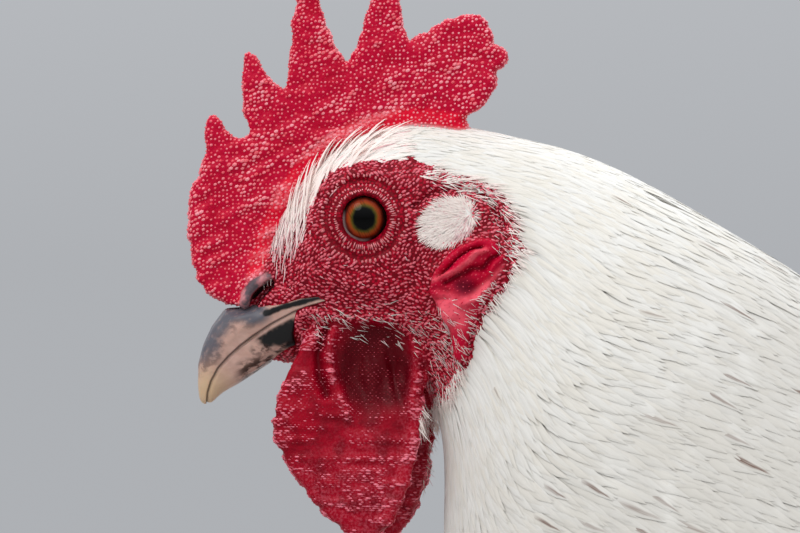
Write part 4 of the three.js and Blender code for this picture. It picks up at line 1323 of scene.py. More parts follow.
def around_head(points):
    """An unwrap of the head and neck round their long axis."""
    turn = np.arctan2(points[:, 0], points[:, 2] + 14 + 0.4 * (points[:, 1] - 10))
    back = np.clip((points[:, 1] + 42) / 140, 0, 1)
    return np.stack([0.5 + 0.48 * turn / math.pi, 0.02 + 0.96 * back], axis=-1)


def plume_arrays(chunk):
    """The vertices, normals, faces and values of one chunk's thin, closed, three-cornered plumes. The
    underside has vertices of its own, so that both sides are shaded rightly."""
    points = chunk["points"]
    count, rings = points.shape[:2]
    forward = unit(np.gradient(points, axis=1))
    side = unit(np.cross(forward, chunk["normals"]))
    up = unit(np.cross(side, forward))
    wide = chunk["half_width"][..., None] * side
    left, top, right = points - wide, points + up * chunk["thickness"][..., None], points + wide
    shade = unit(mix(up, unit(chunk["normals"]), SOFTNESS))
    across = np.array([-1.0, 0, 1, 1, -1])
    section = [left, top, right, right, left]
    tilt = (across * (0.4 if chunk["place"] else 1) + chunk["place"]) * CROWN_TILT
    normals = unit(shade[:, :, None] + side[:, :, None] * tilt[:, None])
    normals[:, :, 3:] *= -1
    size = len(across)
    ring = np.arange(rings - 1)[:, None] * size
    first, second = np.array([(0, 1), (1, 2), (3, 4)]).T
    quad = np.stack([ring + first, ring + second, ring + second + size, ring + first + size], axis=-1)
    start = np.arange(count)[:, None, None] * rings * size
    quads = (quad.reshape(1, -1, 4) + start).reshape(-1, 4)
    last = (rings - 1) * size
    tris = (np.array([[[0, 2, 1], [last, last + 1, last + 2]]]) + start).reshape(-1, 3)
    shape = (count, rings, size)
    stops = np.broadcast_to(chunk["stops"][None, :, None], shape)
    sides = np.broadcast_to(across, shape)
    patch = np.stack([sides * PATCH / 2, (stops - 0.5) * PATCH], axis=-1)
    values = {
        "along": stops, "across": sides, "side_mm": sides * chunk["half_width"][..., None],
        "run_mm": stops * chunk["length"][:, None, None],
        "tone": np.broadcast_to(chunk["tone"][:, None, None], shape),
        "streak": np.broadcast_to(chunk["streak"][:, None, None], shape),
    }
    return {"vertices": np.stack(section, axis=2).reshape(-1, 3), "normals": normals.reshape(-1, 3),
            "quads": quads, "tris": tris, "uv": (chunk["uv"][:, None, None] + patch).reshape(-1, 2),
            "values": {name: value.reshape(-1) for name, value in values.items()}}


def make_coat(name, chunks, material):
    """One coat piece from several chunks of plumes."""
    parts = [plume_arrays(chunk) for chunk in chunks]
    starts = np.cumsum([0] + [len(part["vertices"]) for part in parts])
    joined = {key: np.concatenate([part[key] for part in parts]) for key in ("vertices", "normals", "uv")}
    quads = np.concatenate([part["quads"] + start for part, start in zip(parts, starts)])
    tris = np.concatenate([part["tris"] + start for part, start in zip(parts, starts)])
    piece = make_object(name, joined["vertices"], quads, tris)
    mesh = piece.data
    for value in parts[0]["values"]:
        set_value(mesh, value, np.concatenate([part["values"][value] for part in parts]))
    set_normals(mesh, joined["normals"])
    set_uv(mesh, joined["uv"])
    enter(piece, material)
    return piece


def plumage(name, material, *roots, **shape):
    """A coat piece of the plumes that lay makes."""
    make_coat(name, lay(*roots, **shape), material)


# ---------------------------------------------------------------- the lie of the plumage

# Each heading gives directions at points, from their two coordinates on the surface and the
# direction along its first coordinate.

def side_view_direction(degrees):
    """Directions in side view, by degrees up from straight back."""
    angle = np.radians(degrees)
    return np.stack([0 * angle, np.cos(angle), np.sin(angle)], axis=-1)


def beyond_face(points):
    """Distance in side view from the edge of the bare face, negative on it."""
    return outline_distance(points[..., 1], points[..., 2], FACE_OUTLINE)


def body_heading(points, rib, turn, along):
    """Down the neck and back over the shoulders: the ribs' own run at the upper and lower lines, and
    a flatter sweep towards the tail on the sides, away from the face."""
    aside = np.abs((np.degrees(turn) + 180) % 360 - 180)
    slope = np.interp(rib, [4, 8, 11, 13, 17, 21, 24], [-8, -26, -31, -38, -25, -8, 2])
    beyond = beyond_face(points)
    share = smoothstep(15, 60, aside) * (1 - smoothstep(118, 172, aside)) * smoothstep(3, 34, beyond)
    onward = mix(unit(along), side_view_direction(slope), share[..., None])
    at_face = smoothstep(4, 0, beyond) * (rib > 3)
    return onward + 0.45 * at_face[..., None] * away_from_face(points)


def away_from_face(points):
    """The direction in side view in which the distance beyond the face's edge grows."""
    step = np.array([0, 0.2, 0]), np.array([0, 0, 0.2])
    growth = [beyond_face(points + s) - beyond_face(points - s) for s in step]
    return unit(np.stack([0 * growth[0], *growth], axis=-1))


def brow_heading(points, rib, turn, along):
    """Up from the beak along the comb's foot, and back over the brow."""
    slope = np.interp(points[..., 1], [-19, -13, -8, -2, 5, 12], [84, 72, 56, 34, 10, -4])
    return side_view_direction(slope)


def wing_heading(points, y, z, along):
    """Back along the folded wing, and down a little on its shoulder."""
    return side_view_direction(np.interp(y, [20, 70, 160, 300], [-46, -34, -20, -9]))


def thigh_heading(points, down, turn, along):
    """Down the thigh, and back."""
    return mix(unit(along), np.array([0, 0.75, -0.66]), 0.35)


FULL_TURN = (-math.pi, math.pi)


def halves(overlap):
    """The names of the body's two sides with their turns, which pass the middle line by overlap."""
    return ("left", (-overlap, math.pi + overlap)), ("right", (-math.pi - overlap, overlap))


def pick(u, v, kept):
    return u[kept], v[kept]


def head_coat(white, rosy_white, pink):
    """Short plumes over the crown, and finer ones up the brow that flare over the comb's foot."""
    body = BodySurface()
    u, v = scatter(body, (2.2, 8.2), FULL_TURN, 0.72, 3)
    points = body.place(u, v)
    edge = np.random.default_rng(31).uniform(-1.2, 1.4, len(u))
    kept = (beyond_face(points) > edge) & ((np.abs(points[:, 0]) > 3.0) | (points[:, 1] > 18.5))
    kept &= (points[:, 1] > 7) | (points[:, 1] + points[:, 2] > -2 + 2 * edge)
    u, v = pick(u, v, kept)
    shares = smoothstep(2.5, 8, u)
    plumage("coat_crown", white, body, u, v, body_heading, mix(5, 13, shares), mix(0.62, 1.45, shares), 3,
            thick=0.06, rise=0.4, proud=0.2, sink=0.32, wander=5, uv_range=((2.2, 8.2), FULL_TURN))
    u, v = scatter(body, (0.25, 4.4), (-1.7, 1.7), 0.34, 5)
    points = body.place(u, v)
    y, z = points[:, 1], points[:, 2]
    random = np.random.default_rng(51)
    dense = mix(0.16, 1.0, smoothstep(-14, 3, z))
    low = smoothstep(5, -7, z)
    edge = random.uniform(0, 1, len(u)) * mix(2.3, 5.5, low) - mix(1.5, 0.3, low)
    band = (beyond_face(points) > edge) & (y < 9)
    kept = band & (random.random(len(u)) < dense) & (np.abs(points[:, 0]) > 2.9)
    u, v = pick(u, v, kept)
    z, rosy = z[kept], random.random(kept.sum()) < mix(0.85, 0.1, smoothstep(-12, 8, z[kept]))
    flaring = random.random(len(u)) < 0.09
    for name, share, colour, proud in (("coat_brow", ~rosy & ~flaring, rosy_white, 0.2),
                                       ("coat_brow_rosy", rosy & ~flaring, pink, 0.2),
                                       ("coat_brow_tips", flaring, rosy_white, 3.0)):
        lean = 15 * np.sign(v[share]) * (proud > 1)
        length = mix(4.5, 9.5, smoothstep(-14, 12, z[share]))
        width = mix(0.26, 0.75, smoothstep(-12, 10, z[share]))
        plumage(name, colour, body, u[share], v[share], brow_heading, length, width, 6, thick=0.06,
                proud=proud, sink=0.2, tip=1.8, rise=0.5, wander=6, lean=lean,
                uv_range=((0.2, 4.4), FULL_TURN))


def flecked(points):
    """The share of plumes with a dusky shaft, which grows down and back over the hackle."""
    return mix(0.004, 0.06, smoothstep(50, 145, points[:, 1] - points[:, 2]))


def neck_coat(white):
    """Narrow plumes that grow longer down the neck."""
    body = BodySurface()
    for seed, (name, turns) in enumerate(halves(0.08), 7):
        u, v = scatter(body, (7.4, 12.8), turns, 3.05, seed)
        points = body.place(u, v)
        u, v = pick(u, v, beyond_face(points) > np.random.default_rng(33).uniform(-1.6, 0.8, len(u)))
        shares = smoothstep(7.6, 12.5, u)
        plumage("coat_neck_" + name, white, body, u, v, body_heading, mix(13, 34, shares),
                mix(2.0, 5.2, shares), seed, thick=0.06, rise=0.32, proud=0.15, sink=0.2, wander=4,
                streak=flecked(body.place(u, v)), uv_range=((7, 13), turns))


def hackle_coat(white):
    """Long pointed feathers from the lower neck over the shoulders."""
    body = BodySurface()
    for seed, (name, turns) in enumerate(halves(0.08), 9):
        u, v = scatter(body, (11.6, 16.4), turns, 15, seed)
        last = mix(16.4, 13.4, smoothstep(0.4, 2.2, np.abs(v)))
        u, v = pick(u, v, u < last + np.random.default_rng(seed).uniform(-0.4, 0.4, len(u)))
        shares = smoothstep(11.6, 15, u)
        plumage("coat_hackle_" + name, white, body, u, v, body_heading, mix(44, 66, shares),
                mix(5.0, 6.8, shares), seed, rings=6, thick=0.08, rise=0.32, proud=0.2, sink=0.25, tip=1.8,
                wander=4, streak=1.5 * flecked(body.place(u, v)), uv_range=((11, 17), turns))


def body_coat(white):
    """Broad round feathers over the trunk, and long narrow ones over the saddle."""
    body = BodySurface()
    for seed, (name, turns) in enumerate(halves(0.02), 11):
        u, v = scatter(body, (12.4, 23.6), turns, 105, seed)
        low = smoothstep(1.9, 2.7, np.abs(v))
        length = mix(mix(32, 44, smoothstep(13, 19, u)), 26, low)
        plumage("coat_body_" + name, white, body, u, v, body_heading, length, mix(19, 15, low), seed,
                rings=4, thick=0.3, tip=4, proud=1.5, locks=5, fan=0.6, wander=6, uv_range=((12, 24), turns))
    u, v = scatter(body, (17.6, 22.2), (-1.25, 1.25), 26, 13)
    plumage("coat_saddle", white, body, u, v, body_heading, mix(58, 84, smoothstep(18, 21, u)), 5.2, 13,
            rings=6, thick=0.25, proud=2.4, tip=1.8, wander=6, streak=0.05)


def thigh_coat(white):
    """Short round feathers down each thigh to the hock."""
    for name, side in SIDES:
        thigh = ThighSurface(side)
        u, v = scatter(thigh, (0.02, 0.97), FULL_TURN, 46, 14)
        length = mix(26, 9, smoothstep(0.3, 0.95, u))
        plumage("coat_thigh_" + name, white, thigh, u, v, thigh_heading, length, length * 0.42, 15,
                rings=4, thick=0.25, tip=4, proud=1.2, locks=3, fan=0.6, wander=7, rise=0.5)


# ---------------------------------------------------------------- big feathers with barbs

BARB_ANGLES = (42, 22)          # degrees from the shaft, at its root and at its tip
BARB_WIDTH = 2.3
BARB_SHAPE = (1.0, 0.95, 0.2)   # share of that width at a barb's three stops
CORE = (0.8, 0.25)              # share of the vane's width and the thickness
SHAFT = (0.07, 0.9)


def vane(path, normals, half_width, tone, seed, spacing=1.7):
    """One big feather: a thin core, a shaft, and barbs along both edges, as chunks.

    path and normals are (points, 3) along the shaft, half_width is one number for each point."""
    random = np.random.default_rng(seed)
    steps = np.linalg.norm(np.diff(path, axis=0), axis=1)
    run = np.concatenate([[0], np.cumsum(steps)])
    length = run[-1]
    forward = unit(np.gradient(path, axis=0))
    stops = run / length
    uv = np.array([[0.5, 0.5]])
    chunks = [{
        "points": path[None], "normals": normals[None], "stops": stops, "place": 0.0,
        "half_width": np.maximum(share * half_width, 0.15)[None],
        "thickness": (thick * (1 - 0.7 * stops))[None],
        "length": np.array([length]), "tone": np.array([tone]), "streak": np.zeros(1), "uv": uv,
    } for share, thick in (CORE, SHAFT)]
    for way in (-1, 1):
        at = np.arange(0.04 * length, 0.985 * length, spacing)
        at = at + random.uniform(-0.3, 0.3, len(at)) * spacing
        root, ahead, up = (resampled(values, run, at) for values in (path, forward, normals))
        ahead, up = unit(ahead), unit(up)
        out = way * unit(np.cross(ahead, up))
        share = at / length
        angle = np.radians(mix(*BARB_ANGLES, share) + random.normal(0, 2, len(at)))
        reach = np.interp(at, run, half_width)
        barb_length = reach / np.sin(angle) * random.uniform(0.9, 1.06, len(at))
        barb_stops = np.linspace(0, 1, len(BARB_SHAPE))
        bend = angle[:, None] * (1 - 0.22 * barb_stops[None, :])
        along = barb_length[:, None] * barb_stops[None, :]
        points = (root[:, None] + ahead[:, None] * (along * np.cos(bend))[..., None]
                  + out[:, None] * (along * np.sin(bend))[..., None]
                  + up[:, None] * (random.uniform(-0.15, 0.25, len(at))[:, None] - 0.02 * along)[..., None])
        chunks.append({
            "points": points, "normals": np.broadcast_to(up[:, None], points.shape), "stops": barb_stops,
            "place": 0.0, "half_width": np.tile(0.5 * BARB_WIDTH * np.array(BARB_SHAPE), (len(at), 1)),
            "thickness": np.full((len(at), len(BARB_SHAPE)), 0.16), "length": barb_length,
            "tone": np.clip(tone + random.normal(0, 0.12, len(at)), 0, 1), "streak": np.zeros(len(at)),
            "uv": np.broadcast_to(uv, (len(at), 2)),
        })
    return chunks


def placed_on_unwrap(chunks, low, high):
    """Gives every plume of big feathers the place of its root between two corners, by y and z."""
    for chunk in chunks:
        root = chunk["points"][:, 0, 1:]
        chunk["uv"] = 0.02 + 0.96 * np.clip((root - low) / np.subtract(high, low), 0, 1)
    return chunks


TAIL_ROOT = (304, -134)   # y and z
TAIL_STEPS = 26
FAN_FEATHERS = 5
COVERT_FEATHERS = 4


def tail_vane(side, y, z, out, angle, curl, length, width, splay, tone, seed):
    """A curved tail feather that lies in a plane facing sideways."""
    share = np.linspace(0, 1, TAIL_STEPS)
    heading = np.radians(angle + curl * share ** 1.3)
    step = length / (TAIL_STEPS - 1)
    run = np.stack([np.full(TAIL_STEPS, splay), np.cos(heading), np.sin(heading)], axis=1) * step
    path = np.array([out, y, z]) + np.concatenate([np.zeros((1, 3)), np.cumsum(run[:-1], axis=0)])
    path = path * (side, 1, 1)
    fullness = np.minimum(1, 0.5 + 1.4 * share) * np.sqrt(np.maximum(1 - share ** 7, 0.02))
    normals = np.broadcast_to(np.array([float(side), 0, 0]), path.shape)
    return vane(path, normals, 0.5 * width * fullness - 0.4, tone, seed)


def tail(black):
    """On each side a spread fan, one long sickle, and curved coverts over their roots."""
    root_y, root_z = TAIL_ROOT
    for name, side in SIDES:
        fan, coverts = [], []
        for i in range(FAN_FEATHERS):
            d = i / (FAN_FEATHERS - 1)
            fan += tail_vane(side, root_y - 4 * d, root_z + 16 - 44 * d, 4 + 0.5 * i, mix(66, 14, d), -12,
                             160 - 14 * d, 46, 0.03 + 0.1 * d, 0.3, 60 + i)
        sickle = tail_vane(side, 303, -116, 16, 83, -152, 300, 30, 0.04, 0.5, 70)
        for i in range(COVERT_FEATHERS):
            d = i / (COVERT_FEATHERS - 1)
            coverts += tail_vane(side, root_y + 8 - 4 * d, root_z + 20 - 30 * d, 21 + 0.5 * i, mix(60, 26, d),
                                 mix(-118, -92, d), 200 - 70 * d, 28, 0.06 + 0.12 * d, 0.7, 80 + i)
        for kind, chunks in (("fan", fan), ("sickle", sickle), ("coverts", coverts)):
            placed_on_unwrap(chunks, (290, -190), (420, 20))
            piece = make_coat(f"{kind}_{name}", chunks, black)
            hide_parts(f"tail_{kind}_{name}")


# The primaries, secondaries and coverts of a wing: tone, how many, the first and the last root's y
# and z, and from the first to the last their slopes, lengths and width.
FLIGHT_ROWS = [
    (0.52, 6, (196, -226), (222, -196), (6, -2), (98, 92), 13),
    (0.5, 10, (128, -246), (176, -176), (14, -12), (112, 128), 17),
    (0.5, 11, (84, -238), (150, -168), (4, -18), (58, 50), 15),
]
FLIGHT_STEPS = 14
WING_OUTLINE = [(26, -200), (40, -174), (72, -156), (116, -149), (160, -150), (204, -158), (246, -168),
                (284, -181), (312, -195), (296, -209), (264, -225), (222, -242), (176, -254), (126, -259),
                (76, -251), (40, -229)]


def flight_feathers(wing):
    """Rows of big feathers along the folded wing, each row over the one before it."""
    chunks = []
    share = np.linspace(0, 1, FLIGHT_STEPS)
    fullness = np.minimum(1, 0.6 + share) * np.sqrt(np.maximum(1 - share ** 9, 0.02))
    for row, (tone, count, first, last, slopes, lengths, width) in enumerate(FLIGHT_ROWS):
        for i in range(count):
            d = i / (count - 1)
            length, slope = mix(*lengths, d), math.radians(mix(*slopes, d))
            y = mix(first[0], last[0], d) + length * share * math.cos(slope)
            z = mix(first[1], last[1], d) + length * share * math.sin(slope) - 5 * share ** 2
            path = wing.place(y, z, -1.6 + 0.9 * row + 0.16 * i + 0.4 * share)
            _, _, normals = frame_at(wing, y, z)
            chunks += vane(path, normals, 0.5 * width * fullness, tone, 100 + 20 * row + i, spacing=2.0)
    return placed_on_unwrap(chunks, (20, -270), (330, -140))


def wings(heights, white):
    """The flight feathers and coverts of each folded wing, and small feathers on its shoulder."""
    for name, side in SIDES:
        wing = WingSurface(heights, side)
        make_coat("coat_flight_" + name, flight_feathers(wing), white)
        u, v = scatter(wing, (34, 120), (-240, -148), 62, 16)
        inside = outline_distance(u, v, WING_OUTLINE) < -3
        u, v = pick(u, v, inside & (u < 112 + 0.3 * (v + 240)))
        length = mix(20, 34, smoothstep(34, 120, u))
        plumage("coat_shoulder_" + name, white, wing, u, v, wing_heading, length, length * 0.5, 17,
                rings=4, thick=0.25, tip=4, proud=1.6, locks=3, fan=0.6, wander=5)


# ---------------------------------------------------------------- bristles and papillae on the bare skin

CELL_KEY = np.array([1, 2 ** 12, 2 ** 24])   # makes one whole number of a cell's three


class SkinRoots:
    """Points of the finished skin that bristles and papillae can stand on."""

    def __init__(self, skin_object):
        mesh = skin_object.data
        self.mesh, self.points, self.normals = mesh, points_of(mesh), normals_of(mesh)
        self.masks = {name: self.value(name) for name in MASKS}
        others = sum(self.masks.values())
        near = (self.points[:, 1] < 46) * (self.points[:, 2] > -80)
        self.masks["face"] = (1 - np.clip(others, 0, 1)) * near
        self.order = np.random.default_rng(90).permutation(len(self.points))

    def value(self, name):
        values = np.empty(len(self.points), np.float32)
        self.mesh.attributes[name].data.foreach_get("value", values)
        return values

    def spaced(self, chosen, spacing):
        """An even choice of the chosen points, at least about spacing apart."""
        order = self.order[chosen[self.order]]
        cells = np.floor(self.points[order] / (spacing * 0.8)).astype(np.int64)
        _, first = np.unique(cells @ CELL_KEY, return_index=True)
        order = order[np.sort(first)]
        tree = KDTree(len(order))
        for index, point in enumerate(self.points[order]):
            tree.insert(point, index)
        tree.balance()
        kept = np.ones(len(order), bool)
        for index, point in enumerate(self.points[order]):
            if kept[index]:
                for _, other, _ in tree.find_range(point, spacing * 0.8):
                    if other > index:
                        kept[other] = False
        return order[kept]


BEAD_SIDES = 6
BEAD_RIM_DEPTH = 0.05    # below the skin
BEAD_ROOT_DEPTH = 0.3


def beads(name, points, normals, directions, long, wide, height, pale, material):
    """Low closed domes on the skin, each a ring with a point above it and one below."""
    count = len(points)
    forward = along_surface(directions, normals)
    side = np.cross(normals, forward)
    turn = even_turns(BEAD_SIDES)
    outward = (forward[:, None] * (np.cos(turn)[None, :, None] * long[:, None, None])
               + side[:, None] * (np.sin(turn)[None, :, None] * wide[:, None, None]))
    ring = points[:, None] + outward / 2 - normals[:, None] * BEAD_RIM_DEPTH
    top = points + normals * height[:, None]
    bottom = points - normals * BEAD_ROOT_DEPTH
    vertices = np.concatenate([ring, top[:, None], bottom[:, None]], axis=1).reshape(-1, 3)
    here = np.arange(BEAD_SIDES)
    beside = (here + 1) % BEAD_SIDES
    upper = np.stack([here, beside, np.full(BEAD_SIDES, BEAD_SIDES)], axis=1)
    lower = np.stack([beside, here, np.full(BEAD_SIDES, BEAD_SIDES + 1)], axis=1)
    start = np.arange(count)[:, None, None] * (BEAD_SIDES + 2)
    tris = (np.concatenate([upper, lower])[None] + start).reshape(-1, 3)
    piece = make_object(name, vertices, tris)
    ring_normals = unit(unit(outward) + normals[:, None] * 0.7)
    set_normals(piece.data, np.concatenate([ring_normals, normals[:, None], -normals[:, None]], axis=1))
    rise = np.tile(np.array([0.45] * BEAD_SIDES + [1.0, 0.0]), count)
    set_value(piece.data, "rise", rise)
    set_value(piece.data, "pale", np.repeat(pale, BEAD_SIDES + 2))
    uv = np.repeat(around_head(points), BEAD_SIDES + 2, axis=0)
    around = np.concatenate([np.stack([np.cos(turn), np.sin(turn)], axis=1), np.zeros((2, 2))])
    set_uv(piece.data, uv + np.tile(around, (count, 1)) * PATCH / 2)
    enter(piece, material)


# Rings of papillae: radius, how many, length along the radius, width and paleness.
EYELID_RINGS = [(6.7, 78, 1.5, 0.36, 0.95), (8.0, 58, 0.9, 0.56, 0.7), (9.4, 62, 1.0, 0.62, 0.8)]
GAPE_RINGS = [(2.5, 18, 0.7, 0.6, 0.7), (3.4, 24, 0.8, 0.62, 0.9)]
UP_AND_BACK = np.array([0, 0.88, 0.47])
WATTLE_FRONT_RIM = [(-9, -26), (-17, -36), (-20, -46), (-19, -54), (-14, -62)]
WATTLE_REAR_RIM = [(12, -26), (12, -40), (12, -50), (8, -60), (2, -68), (-8, -66)]


def papillae(roots):
    """Beads on the comb and wattles, close wormlike papillae on the face, and rings round the eyes."""
    random = np.random.default_rng(91)
    points, normals, masks = roots.points, roots.normals, roots.masks

    horny = np.maximum(roots.value("flap"), roots.value("nostril")) > 0.1
    horny |= outline_distance(points[:, 1], points[:, 2], HORN_AT_GAPE) < 0.3
    in_hollow = np.hypot((points[:, 1] - 2.8) / 9.6, (points[:, 2] + 34) / 11) < 1
    chosen = roots.spaced((masks["comb"] > 0.4) & ~horny, 0.86)
    p, n = points[chosen], normals[chosen]
    ridge = smoothstep(-0.2, 0.7, comb_wrinkle(p))
    rear = smoothstep(-10, 12, p[:, 1])
    size = random.uniform(0.56, 0.86, len(p)) * mix(0.85, 1.1, ridge)
    pale = np.clip(random.uniform(0.35, 1.15, len(p)) * mix(0.6, 1.0, np.maximum(ridge, rear * 0.8)), 0, 1)
    beads("papillae_comb", p, n, UP_AND_BACK, size * mix(1.15, 1.6, ridge), size, 0.42 * size, pale,
          bead_material("comb_beads", COMB_RED, COMB_PINK, 0.95))

    from_eye = np.hypot(points[:, 1], points[:, 2])
    under_coat = (beyond_face(points) > random.uniform(-0.8, 0.8, len(points))) & (points[:, 1] > 5)
    chosen = roots.spaced((masks["face"] > 0.6) & (from_eye > 10.2) & ~(horny | in_hollow | under_coat), 0.84)
    p, n = points[chosen], normals[chosen]
    along_cheek = np.array([0, 0.9, 0.3]) + 1.1 * np.stack([cloud(p, 4, k) for k in (41, 42, 43)], axis=1)
    size = random.uniform(0.46, 0.72, len(p))
    pale = random.uniform(0.3, 1.1, len(p)) * mix(0.6, 1, smoothstep(-40, -10, p[:, 2]))
    beads("papillae_face", p, n, along_cheek, size * random.uniform(1.3, 2.5, len(p)), size, 0.5 * size,
          np.clip(pale, 0, 1), bead_material("face_beads", FACE_RED, FACE_PINK, 0.9))
    rings_of_beads("papillae_eyelids", roots, (0, 0), EYELID_RINGS, linear(244, 168, 172))
    rings_of_beads("papillae_gape", roots, GAPE, GAPE_RINGS, FACE_PINK)

    in_groove = wattle_wrinkle(points) < -0.15
    chosen = roots.spaced((masks["wattle"] > 0.6) & ~in_groove, 0.7)
    p, n, hollow = points[chosen], normals[chosen], in_hollow[chosen]
    y, z = p[:, 1], p[:, 2]
    front_rim = smoothstep(5, 1.0, line_distance(y, z, WATTLE_FRONT_RIM))
    ridge = smoothstep(1.6, 0.6, line_distance(y, z, WATTLE_RELIEF[1][0]))
    rear = smoothstep(3.4, 0.8, line_distance(y, z, WATTLE_REAR_RIM))
    rear = np.maximum(rear, 0.7 * smoothstep(-44, -60, z) * smoothstep(-14, -2, y))
    # painted highlight in part: the specks grow paler and bigger along the rims and ridge, and dimmer in the
    # hollow
    bright = np.where(hollow, 0, np.maximum(np.maximum(rear, ridge), 0.8 * front_rim))
    pale = random.uniform(0.0, 1.0, len(p)) ** mix(2.2, 0.8, bright) * np.where(hollow, 0.5, 1)
    size = mix(0.18, 0.42, pale) * mix(0.85, 1.6, bright)
    beads("papillae_wattle", p, n, np.array([0, 1.0, -0.08]), size * random.uniform(1.4, 3.6, len(p)), size,
          0.6 * size, pale, bead_material("wattle_beads", WATTLE_RED, WATTLE_PINK, 1.0))

    chosen = roots.spaced(masks["lobe"] > 0.6, 1.0)
    p, n = points[chosen], normals[chosen]
    size = random.uniform(0.26, 0.5, len(p))
    beads("papillae_lobe", p, n, np.array([0, 0.8, 0.6]), size * 1.5, size, 0.4 * size,
          random.uniform(0.0, 0.9, len(p)), bead_material("lobe_beads", LOBE_RED, LOBE_PINK, 0.8))


def rings_of_beads(name, roots, centre, rings, tip):
    """Rows of papillae that point outwards round a centre on each side of the head."""
    random = np.random.default_rng(92)
    places, radial, long, wide, pale = [], [], [], [], []
    for side in (1, -1):
        from_centre = np.hypot(roots.points[:, 1] - centre[0], roots.points[:, 2] - centre[1])
        near = np.flatnonzero((roots.points[:, 0] * side > 8) & (from_centre < 12))
        tree = KDTree(len(near))
        for index in near:
            tree.insert((0, roots.points[index, 1], roots.points[index, 2]), index)
        tree.balance()
        for radius, count, length, width, paleness in rings:
            for turn in even_turns(count):
                out = np.array([0, math.cos(turn), math.sin(turn)])
                reach = radius * (1 + random.normal(0, 0.012))
                found = [index for _, index, _ in tree.find_n(np.array([0, *centre]) + out * reach, 6)]
                places.append(found[np.argmax(side * roots.points[found, 0])])
                radial.append(out)
                long.append(length * random.uniform(0.8, 1.2))
                wide.append(width * random.uniform(0.85, 1.15))
                # painted light: papillae above the centre are paler than those below
                painted_light_above = mix(0.75, 1, smoothstep(-4, 4, radius * out[2]))
                pale.append(paleness * random.uniform(0.6, 1.1) * painted_light_above)
    p, n = roots.points[places], roots.normals[places]
    beads(name, p, n, np.array(radial), np.array(long), np.array(wide), 0.65 * np.array(wide),
          np.clip(pale, 0, 1), bead_material(name, FACE_RED, tip, 0.95))


def face_bristles(roots, white, rosy_white, pink):
    """Hairlike feathers on the bare face and throat, and the dense white ear tufts."""
    random = np.random.default_rng(95)
    points, normals, masks = roots.points, roots.normals, roots.masks
    y, z = points[:, 1], points[:, 2]
    free = masks["face"] > 0.5
    cheek = smoothstep(6, 2, line_distance(y, z, [(-10, -24), (-2, -23.6), (8, -25), (16, -27)]))
    throat = smoothstep(9, 4, line_distance(y, z, [(17, -26), (17, -40), (17, -56)]))
    behind_ear = smoothstep(4.5, 1.5, line_distance(y, z, [(27, 7), (32, 0), (33, -8), (28, -17), (24, -28)]))
    chance = 0.006 + 0.05 * cheek + 0.05 * throat + 0.05 * behind_ear
    free &= (np.hypot(y, z) > 10.5) & (line_distance(y, z, NOSTRIL) > 3.5)
    chosen = np.flatnonzero(free & (random.random(len(points)) < chance))
    p, n = points[chosen], normals[chosen]
    slope = np.interp(p[:, 1], [-20, -5, 10, 25], [20, -8, -20, -24])
    slope = mix(slope, -62, smoothstep(-26, -36, p[:, 2])) + random.normal(0, 14, len(p))
    bristles("bristles_face", pink, p, n, slope, 1.6, 0.16, 16, 96)
    chance = 0.10 * cheek + 0.10 * throat * smoothstep(12, 17, y) + 0.16 * behind_ear
    open_skin = (masks["white"] < 0.5) & (masks["leg"] < 0.1) & (masks["comb"] < 0.5)
    open_skin &= np.abs(points[:, 0]) > 5
    chosen = np.flatnonzero(open_skin & (random.random(len(points)) < chance))
    p, n = points[chosen], normals[chosen]
    slope = np.interp(p[:, 1], [-10, 0, 12, 25], [-30, -24, -14, -30])
    slope = mix(slope, -58, smoothstep(-26, -40, p[:, 2])) + random.normal(0, 13, len(p))
    rosy = random.random(len(p)) < 0.4
    for name, share, colour in (("bristles_white", ~rosy, white), ("bristles_rosy", rosy, pink)):
        bristles(name, colour, p[share], n[share], slope[share], 2.9, 0.17, 12, 98, rings=4)

    edge = outline_distance(y, z, FACE_OUTLINE)
    fringe = (np.abs(edge + 0.4) < 2.6) & (y > 12) & (z > -76) & (masks["comb"] + masks["lobe"] < 0.2)
    chosen = np.flatnonzero(fringe & (random.random(len(points)) < 0.34))
    p, n = points[chosen], normals[chosen]
    slope = np.interp(p[:, 2], [-70, -40, -20, -4, 6, 12], [-84, -66, -50, -34, -18, -6])
    slope = slope + random.normal(0, 7, len(p))
    bristles("coat_fringe", rosy_white, p, n, slope, 4.6, 0.26, 7, 99, rings=4)

    inside = (ear_tuft_distance(y, z) < 1.02) & (np.abs(points[:, 0]) > 8) & (masks["leg"] < 0.1)
    chosen = np.flatnonzero(inside & (masks["lobe"] < 0.5))
    extra = np.repeat(chosen, 4)
    p = points[extra] + random.uniform(-0.25, 0.25, (len(extra), 3)) * (0.2, 1, 1)
    n = normals[extra]
    away = np.stack([p[:, 1] - EAR_TUFT[0] - 5.0, p[:, 2] - EAR_TUFT[1] - 1.8], axis=1)
    slope = np.degrees(np.arctan2(away[:, 1], away[:, 0]))
    rosy = random.random(len(p)) < 0.04 + 0.9 * smoothstep(-5, 1, away[:, 0]) * smoothstep(1, -4, away[:, 1])
    for name, share, colour in (("ear_tufts", ~rosy, rosy_white), ("ear_tuft_edges", rosy, pink)):
        bristles(name, colour, p[share], n[share], slope[share], 2.5, 0.2, 30, 97, droop=0.8)


# ---------------------------------------------------------------- horn of the claws and spurs

TOE_TURNS = {"inner": -40, "middle": 2, "outer": 38, "hind": 168}   # degrees outwards from straight ahead
HORN_RINGS = 12
HORN_AROUND = 14


def box_of(node):
    """The two far corners of a CAD node's box, in millimetres from the eyes."""
    return [(np.array(corner) - EYE_ORIGIN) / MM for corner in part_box(node)]


